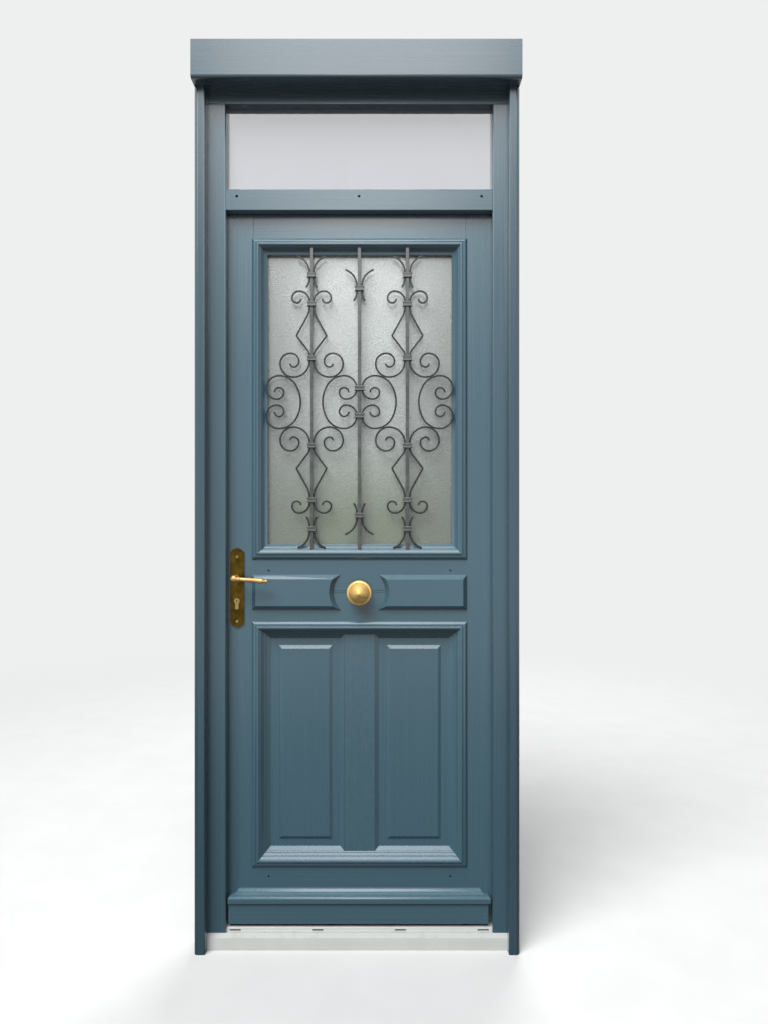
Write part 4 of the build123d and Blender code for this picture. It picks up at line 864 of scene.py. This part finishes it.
@dataclass
class PanelledLeaf(SubAssembly):
    """The leaf's framing, panels, mouldings, blocks and weatherboard."""

    arris: float = 0.0008
    face: float = LEAF_FACE
    mouldings_outer: float = 0.321
    window_middle: float = WINDOW_MIDDLE
    window_outer: float = 0.4785
    window_reach: float = 0.0450
    window_back: float = 0.0260
    panels_middle: float = 0.59125
    panels_outer: float = 0.36575
    panels_reach: float = 0.0415
    panels_back: float = 0.0120
    grain_inset: float = 0.02
    moulding_arris: float = 0.0004
    moulding_sharp: float = 35.0

    def build(self) -> None:
        """Dress the leaf's timber."""
        upright = ("lock_stile", "hinge_stile", "muntin", "left_panel", "right_panel")
        across = ("top_rail", "mid_rail", "bottom_rail", "left_rail_block", "right_rail_block",
                  "drip_moulding", "plinth_board")
        self.run_mouldings()
        self.coat(SatinPaint("leaf_paint_upright", Grain.UPRIGHT), *upright)
        self.coat(SatinPaint("leaf_paint_across", Grain.ACROSS), *across)
        self.ease(self.arris, *upright, *across)

    def bow(self, start: tuple[float, float], end: tuple[float, float], sag: float) -> Outline:
        """List points of a shallow curve.

        Args:
            start: Its first point.
            end: Its last point.
            sag: How far its middle stands off the straight line.

        Returns:
            Its points, both ends with them.
        """
        run, rise = end[0] - start[0], end[1] - start[1]
        length = hypot(run, rise)
        points = []
        for step in range(BOW_SPANS + 1):
            share = step / BOW_SPANS
            bulge = 4.0 * sag * share * (1.0 - share) / length
            points.append((start[0] + run * share - rise * bulge, start[1] + rise * share + run * bulge))
        return points

    def moulding_section(self, reach: float, back: float) -> Outline:
        """List a moulding's section, distance in from its outer edge and rise over the leaf.

        Args:
            reach: Its width.
            back: How far behind the leaf's face it ends.

        Returns:
            The section's points.
        """
        return [
            (0.0, 0.0), (0.0, 0.0018),
            *self.bow((0.0008, 0.0030), (0.0126, 0.0088), 0.0010),
            (0.0130, 0.0070), (0.0142, 0.0070),
            *self.bow((0.0145, 0.0104), (0.0222, 0.0106), 0.0013),
            (0.0226, 0.0076), (0.0238, 0.0070),
            *self.bow((0.0241, 0.0068), (0.0300, 0.0016), 0.0005),
            (0.0302, 0.0002), (0.0314, -0.0004),
            *self.bow((0.0316, -0.0006), (0.0378, -0.0066), -0.0008),
            (0.0382, -0.0082), (0.0394, -0.0086), (reach, -0.0112), (reach, -back), (0.0040, -back),
            (0.0040, 0.0),
        ]

    def run_mouldings(self) -> None:
        """Run the finely ridged mouldings round the window and the panels."""
        rings = (
            ("window", self.window_middle, self.window_outer, self.window_reach, self.window_back),
            ("panel", self.panels_middle, self.panels_outer, self.panels_reach, self.panels_back),
        )
        for opening, middle, half_height, reach, back in rings:
            half = Vector((self.mouldings_outer, 0.0, half_height))

            def place(side: Vector, inward: float, rise: float) -> Vector:
                """Set a corner of the ring in from its outer edge."""
                return Vector((side.x * (half.x - inward), self.face - rise,
                               middle + side.y * (half.z - inward)))

            ring = Ring(middle, half.x - self.grain_inset, half.z - self.grain_inset)
            paint = SatinPaint(f"{opening}_moulding_paint", Grain.MITRED, ring=ring)
            self.coat(paint, f"{opening}_mouldings")
            shape = bmesh.new()
            self.draw_loop(shape, self.moulding_section(reach, back), place)
            self.finish_piece(f"ridged_{opening}_mouldings", shape, paint.name, self.moulding_arris,
                              self.moulding_sharp, f"{opening}_mouldings", "leaf_paint")


@dataclass
class LeafWindow(GlassUnit):
    """The leaf's sealed unit: obscure glass outside, clear glass inside."""

    ring: Ring = Ring(WINDOW_MIDDLE, 0.300, 0.458)

    def build(self) -> None:
        """Dress the window's glass, bar and beads."""
        self.coat(ObscureGlass(), "window_outer_pane")
        self.coat(ClearGlass("clear_window_glass"), "window_inner_pane")
        self.hold("window", "window")


@dataclass
class WroughtGrille(SubAssembly):
    """The forged grille in front of the window, its collars hammered round the bars."""

    edge: float = 0.0008
    plane: float = 0.033
    middle: float = 1.6105
    pitch: float = 0.14297
    side_rises: tuple[float, ...] = (0.378, 0.292, 0.130)
    centre_rise: float = 0.338
    scroll_rise: float = 0.04085
    scroll_extra: float = 0.00098
    half_bore: float = 0.0103
    half_depth: float = 0.005
    wall: float = 0.0022
    half_height: float = 0.0075
    ridge_radius: float = 0.0021
    ridge_flatness: float = 0.8
    lip_share: float = 0.6
    collar_arris: float = 0.0012
    collar_sharp: float = 60.0

    def build(self) -> None:
        """Forge the collars and dress the grille."""
        names = ("grille_scrolls", "grille_curls", "grille_fleurs", "grille_lozenges", "grille_sprays")
        self.coat(ForgedIron(), *names)
        # The bars and collars take a lighter copy of the iron: a stronger coat, and painted sky reflection in
        # their lighter colour.
        self.coat(ForgedIron("bar_iron_painted_reflection", (0.040, 0.042, 0.042), (0.075, 0.076, 0.075), 0.7),
                  "grille_bars")
        self.coat(ForgedIron("collar_iron_painted_reflection", (0.030, 0.032, 0.032), (0.080, 0.081, 0.080), 1.0),
                  "grille_collars")
        self.ease(self.edge, "grille_bars", "grille_collars", *names)
        self.forge_collars()

    def collar_places(self) -> list[Triple]:
        """List the collars.

        Returns:
            Each collar's bar, rise over the middle and extra half width.
        """
        rises = [sign * rise for rise in self.side_rises for sign in (-1, 1)]
        places = [(bar, rise, 0.0) for bar in (-self.pitch, self.pitch) for rise in rises]
        for sign in (-1, 1):
            places.append((0.0, sign * self.centre_rise, 0.0))
            places.append((0.0, sign * self.scroll_rise, self.scroll_extra))
        return places

    def profile(self) -> Outline:
        """Draw the collar's section, two ridges with a waist between them.

        Returns:
            Its points, distance out from the bore and height.
        """
        steps = [radians(angle) for angle in range(-90, 91, 30)]
        lip = self.wall * self.lip_share
        swell = self.ridge_radius * self.ridge_flatness
        points = [(0.0, -self.half_height), (lip, -self.half_height)]
        for sign in (-1, 1):
            centre = sign * (self.half_height - self.ridge_radius)
            points += [(self.wall + swell * cos(step), centre + self.ridge_radius * sin(step))
                       for step in steps]
        points += [(lip, self.half_height), (0.0, self.half_height)]
        return points

    def forge_collars(self) -> None:
        """Make every collar as a ridged band drawn round its bar."""
        shape = bmesh.new()
        for bar, rise, extra in self.collar_places():
            centre = Vector((bar, self.plane, self.middle + rise))
            bore = Vector((self.half_bore + extra, self.half_depth, 0.0))

            def place(side: Vector, out: float, height: float) -> Vector:
                """Set a corner of the band out from the bore."""
                return centre + Vector((side.x * (bore.x + out), side.y * (bore.y + out), height))

            self.draw_loop(shape, self.profile(), place)
        self.finish_piece("forged_collars", shape, "collar_iron_painted_reflection", self.collar_arris,
                          self.collar_sharp, "grille_collars", "wrought_iron")


@dataclass
class CentreKnob(SubAssembly):
    """The fixed knob at the middle of the leaf."""

    def build(self) -> None:
        """Dress the knob, its rose and its bolt."""
        self.coat(Brass("knob_brass", (1.0, 0.66, 0.24), (0.97, 0.61, 0.20), 26.0, 0.48, 0.58, 0.75),
                  "door_knob", "knob_rose", "knob_bolt")


@dataclass
class LockFurniture(SubAssembly):
    """Plates, levers, cylinder, lock case and the keep plate."""

    axis_x: float = -0.3645
    axis_z: float = 1.088
    outer_seat: float = LEAF_FACE
    inner_seat: float = 0.090
    projection: float = 0.0555
    droop: float = 4.5
    elbow: float = 0.0108
    elbow_setback: float = 0.0020
    lever_arris: float = 0.0003
    lever_sharp: float = 50.0
    plate_arris: float = 0.0004

    def neck_section(self) -> Outline:
        """Draw the neck's section from its seat up to the swollen elbow.

        Returns:
            Its points, radius and distance from the seat.
        """
        centre = self.projection - self.elbow_setback
        ball = [(self.elbow * cos(radians(angle)), centre + self.elbow * sin(radians(angle)))
                for angle in (-35, -15, 0, 15, 30, 45, 60, 75, 86)]
        return [(0.0072, 0.0006), (0.0072, 0.0120), (0.0086, 0.0160), (0.0092, 0.0200), (0.0086, 0.0240),
                (0.0070, 0.0280), (0.0066, 0.0340), (0.0074, 0.0410), *ball]

    def grip_section(self) -> Outline:
        """Draw the grip's section from the elbow to its button.

        Returns:
            Its points, radius and distance from the elbow.
        """
        return [(0.0064, 0.0030), (0.0064, 0.0100), (0.0074, 0.0116), (0.0078, 0.0132), (0.0074, 0.0148),
                (0.0060, 0.0168), (0.0058, 0.0240), (0.0064, 0.0400), (0.0071, 0.0600), (0.0079, 0.0790),
                (0.0079, 0.0820), (0.0070, 0.0852), (0.0044, 0.0868), (0.0038, 0.0884), (0.0044, 0.0898),
                (0.0053, 0.0926), (0.0050, 0.0956), (0.0036, 0.0982), (0.0012, 0.0996)]

    def turn_levers(self) -> None:
        """Turn both levers, each a neck with a swollen elbow and a tapered grip."""
        along = Vector((cos(radians(self.droop)), 0.0, -sin(radians(self.droop))))
        up = Vector((-along.z, 0.0, along.x))
        levers = (("outer_lever", self.outer_seat, -1.0), ("inner_lever", self.inner_seat, 1.0))
        for name, seat, out in levers:
            foot = Vector((self.axis_x, seat, self.axis_z))

            def place_neck(side: Vector, radius: float, away: float) -> Vector:
                """Set a point of the neck about the lever's axis."""
                return foot + Vector((side.x * radius, out * away, side.y * radius))

            def place_grip(side: Vector, radius: float, away: float) -> Vector:
                """Set a point of the grip about its own drooping axis."""
                middle = foot + Vector((0.0, out * self.projection, 0.0)) + along * away
                return middle + up * (side.x * radius) + Vector((0.0, side.y * radius, 0.0))

            shape = bmesh.new()
            self.draw_loop(shape, self.neck_section(), place_neck, True)
            self.draw_loop(shape, self.grip_section(), place_grip, True)
            self.finish_piece(f"turned_{name}", shape, "lever_brass", self.lever_arris, self.lever_sharp,
                              name, "bright_brass", "lever")

    def build(self) -> None:
        """Dress the lock's brass and steel."""
        self.coat(Brass("plate_brass_aged", (0.130, 0.083, 0.014), (0.075, 0.046, 0.008), 45.0, 0.22, 0.38),
                  "outer_backplate", "inner_backplate")
        self.coat(Brass("lever_brass", (0.78, 0.50, 0.20), (0.62, 0.38, 0.13), 40.0, 0.30, 0.42, 0.85),
                  "outer_lever", "inner_lever")
        self.coat(Brass("cylinder_brass", (0.46, 0.33, 0.13), (0.33, 0.23, 0.08), 60.0, 0.24, 0.38),
                  "backplate_screws", "cylinder_body", "cylinder_plug")
        self.turn_levers()
        steel = DrawnMetal("lock_steel_drawn", (0.55, 0.55, 0.54), (0.42, 0.42, 0.42),
                           (700.0, 700.0, 20.0), 0.25, 0.42)
        self.coat(steel, "lock_case", "lock_forend", "lock_follower", "lever_spindle", "latch_bolt",
                  "dead_bolt", "strike_plate", "strike_screws", "forend_screws")
        self.ease(self.plate_arris, "outer_backplate", "inner_backplate", "lock_forend", "strike_plate",
                  "latch_bolt", "dead_bolt")


@dataclass
class Hinges(SubAssembly):
    """Four screw-in hinges with nylon washers."""

    def build(self) -> None:
        """Dress the hinges."""
        zinc = DrawnMetal("hinge_zinc", (0.58, 0.58, 0.56), (0.44, 0.44, 0.43),
                          (500.0, 500.0, 500.0), 0.28, 0.42)
        self.coat(zinc, "hinge_frame_knuckles", "hinge_leaf_knuckles")
        self.coat(Moulded("washer_nylon", (0.62, 0.62, 0.58), 0.4), "hinge_washers")


@dataclass(frozen=True)
class SoftLamp:
    """One large soft lamp, seen by surfaces but not by the camera."""

    name: str
    place: Triple
    target: Triple
    width: float
    height: float
    watts: float
    mirrored: bool = True

    def hang(self) -> None:
        """Hang the lamp facing its target."""
        light = bpy.data.lights.new(self.name, "AREA")
        light.shape = "RECTANGLE"
        light.size = self.width
        light.size_y = self.height
        light.energy = self.watts
        lamp = bring_in(self.name, light)
        lamp.location = self.place
        aim = Vector(self.target) - Vector(self.place)
        lamp.rotation_euler = aim.to_track_quat("-Z", "Y").to_euler()
        lamp.visible_camera = False
        lamp.visible_transmission = False
        lamp.visible_glossy = self.mirrored
        log.info("%s: %.0f W", self.name, self.watts)


@dataclass
class Studio:
    """Pale floor, soft lamps and the camera."""

    lens: float = 27.07
    sensor_height: float = 36.0
    eye: Triple = (0.073, -2.264, 1.2826)
    background: Colour = (0.86, 0.865, 0.87)
    skylight: Colour = (0.90, 0.95, 1.0)
    skylight_strength: float = 0.10
    floor_radius: float = 6.0
    floor_full: float = 1.2
    floor_rim: float = 0.5
    floor_tones: tuple[Colour, Colour] = ((0.52, 0.52, 0.52), (0.54, 0.54, 0.54))
    floor_bounce: Colour = (0.13, 0.13, 0.13)
    lamps: tuple[SoftLamp, ...] = (
        SoftLamp("high_sky", (-0.2, -6.0, 5.85), (-0.2, 0.0, 5.85), 3.2, 2.5, 90.0),
        SoftLamp("middle_sky", (-0.2, -6.0, 3.965), (-0.2, 0.0, 3.965), 1.6, 1.27, 23.0),
        SoftLamp("sun_through_haze", (-5.4, -8.3, 13.0), (0.0, 0.0, 1.3), 9.0, 8.0, 3450.0, False),
        SoftLamp("overhead", (-0.6, -3.2, 7.0), (0.0, 0.0, 1.0), 5.0, 4.0, 240.0),
        SoftLamp("inner_side", (1.2, 4.6, 4.6), (0.0, 0.0, 1.2), 3.0, 3.0, 300.0, False),
    )

    def build(self) -> None:
        """Set the stage."""
        self.lay_floor()
        self.hang_world()
        for lamp in self.lamps:
            lamp.hang()
        self.set_camera()
        bpy.context.scene.view_settings.view_transform = "Standard"

    def lay_floor(self) -> None:
        """Lay a floor, pale to the eye, whose far edge fades into the background."""
        shape = bmesh.new()
        bmesh.ops.create_circle(shape, cap_ends=True, segments=96, radius=self.floor_radius)
        mesh = bpy.data.meshes.new("studio_floor")
        shape.to_mesh(mesh)
        shape.free()
        floor = bring_in("studio_floor", mesh)
        material, bench, shader, where = open_material("pale_floor")
        speckle = bench.span(bench.noise(where, 5.0, 4.0), 0.3, 0.7)
        seen = bench.blend(speckle, *self.floor_tones)
        path = bench.add("LightPath")
        pale = bench.sum("MAXIMUM", path.outputs["Is Camera Ray"], path.outputs["Is Transmission Ray"])
        bench.join(bench.blend(pale, self.floor_bounce, seen), shader.inputs["Base Color"])
        length = bench.add("VectorMath", operation="LENGTH")
        bench.join(where, length.inputs[0])
        edge = self.floor_radius - self.floor_rim
        bench.join(bench.span(length.outputs["Value"], self.floor_full, edge, 1.0, 0.0),
                   shader.inputs["Alpha"])
        bench.feed(shader, Roughness=0.8, IOR=1.3)
        mesh.materials.append(material)

    def hang_world(self) -> None:
        """Make a pale surround, dimmer as a lamp than it looks."""
        world = bpy.data.worlds.new("pale_surround")
        bpy.context.scene.world = world
        world.use_nodes = True
        world.node_tree.nodes.clear()
        bench = Bench(world.node_tree)
        seen = bench.add("Background")
        bench.feed(seen, Color=(*self.background, 1.0), Strength=1.0)
        lighting = bench.add("Background")
        bench.feed(lighting, Color=(*self.skylight, 1.0), Strength=self.skylight_strength)
        path = bench.add("LightPath")
        share = bench.sum("MAXIMUM", path.outputs["Is Camera Ray"], path.outputs["Is Transmission Ray"])
        share = bench.sum("MAXIMUM", share, path.outputs["Is Glossy Ray"])
        mix = bench.add("MixShader")
        bench.join(share, mix.inputs[0])
        bench.join(lighting.outputs[0], mix.inputs[1])
        bench.join(seen.outputs[0], mix.inputs[2])
        bench.join(mix.outputs[0], bench.add("OutputWorld").inputs[0])

    def set_camera(self) -> None:
        """Stand the camera where the photographer stood."""
        lens = bpy.data.cameras.new("front_view")
        lens.sensor_fit = "VERTICAL"
        lens.sensor_height = self.sensor_height
        lens.lens = self.lens
        camera = bring_in("front_view", lens)
        camera.location = self.eye
        camera.rotation_euler = (radians(90.0), 0.0, 0.0)
        bpy.context.scene.camera = camera


def main() -> None:
    """Dress the door piece by piece, then light it."""
    logging.basicConfig(level=logging.INFO, format="%(message)s")
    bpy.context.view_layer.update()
    for part in (OuterFrame(), Threshold(), TransomLight(), PanelledLeaf(), LeafWindow(), WroughtGrille(),
                 CentreKnob(), LockFurniture(), Hinges(), Studio()):
        part.build()


if __name__ == "__main__":
    main()
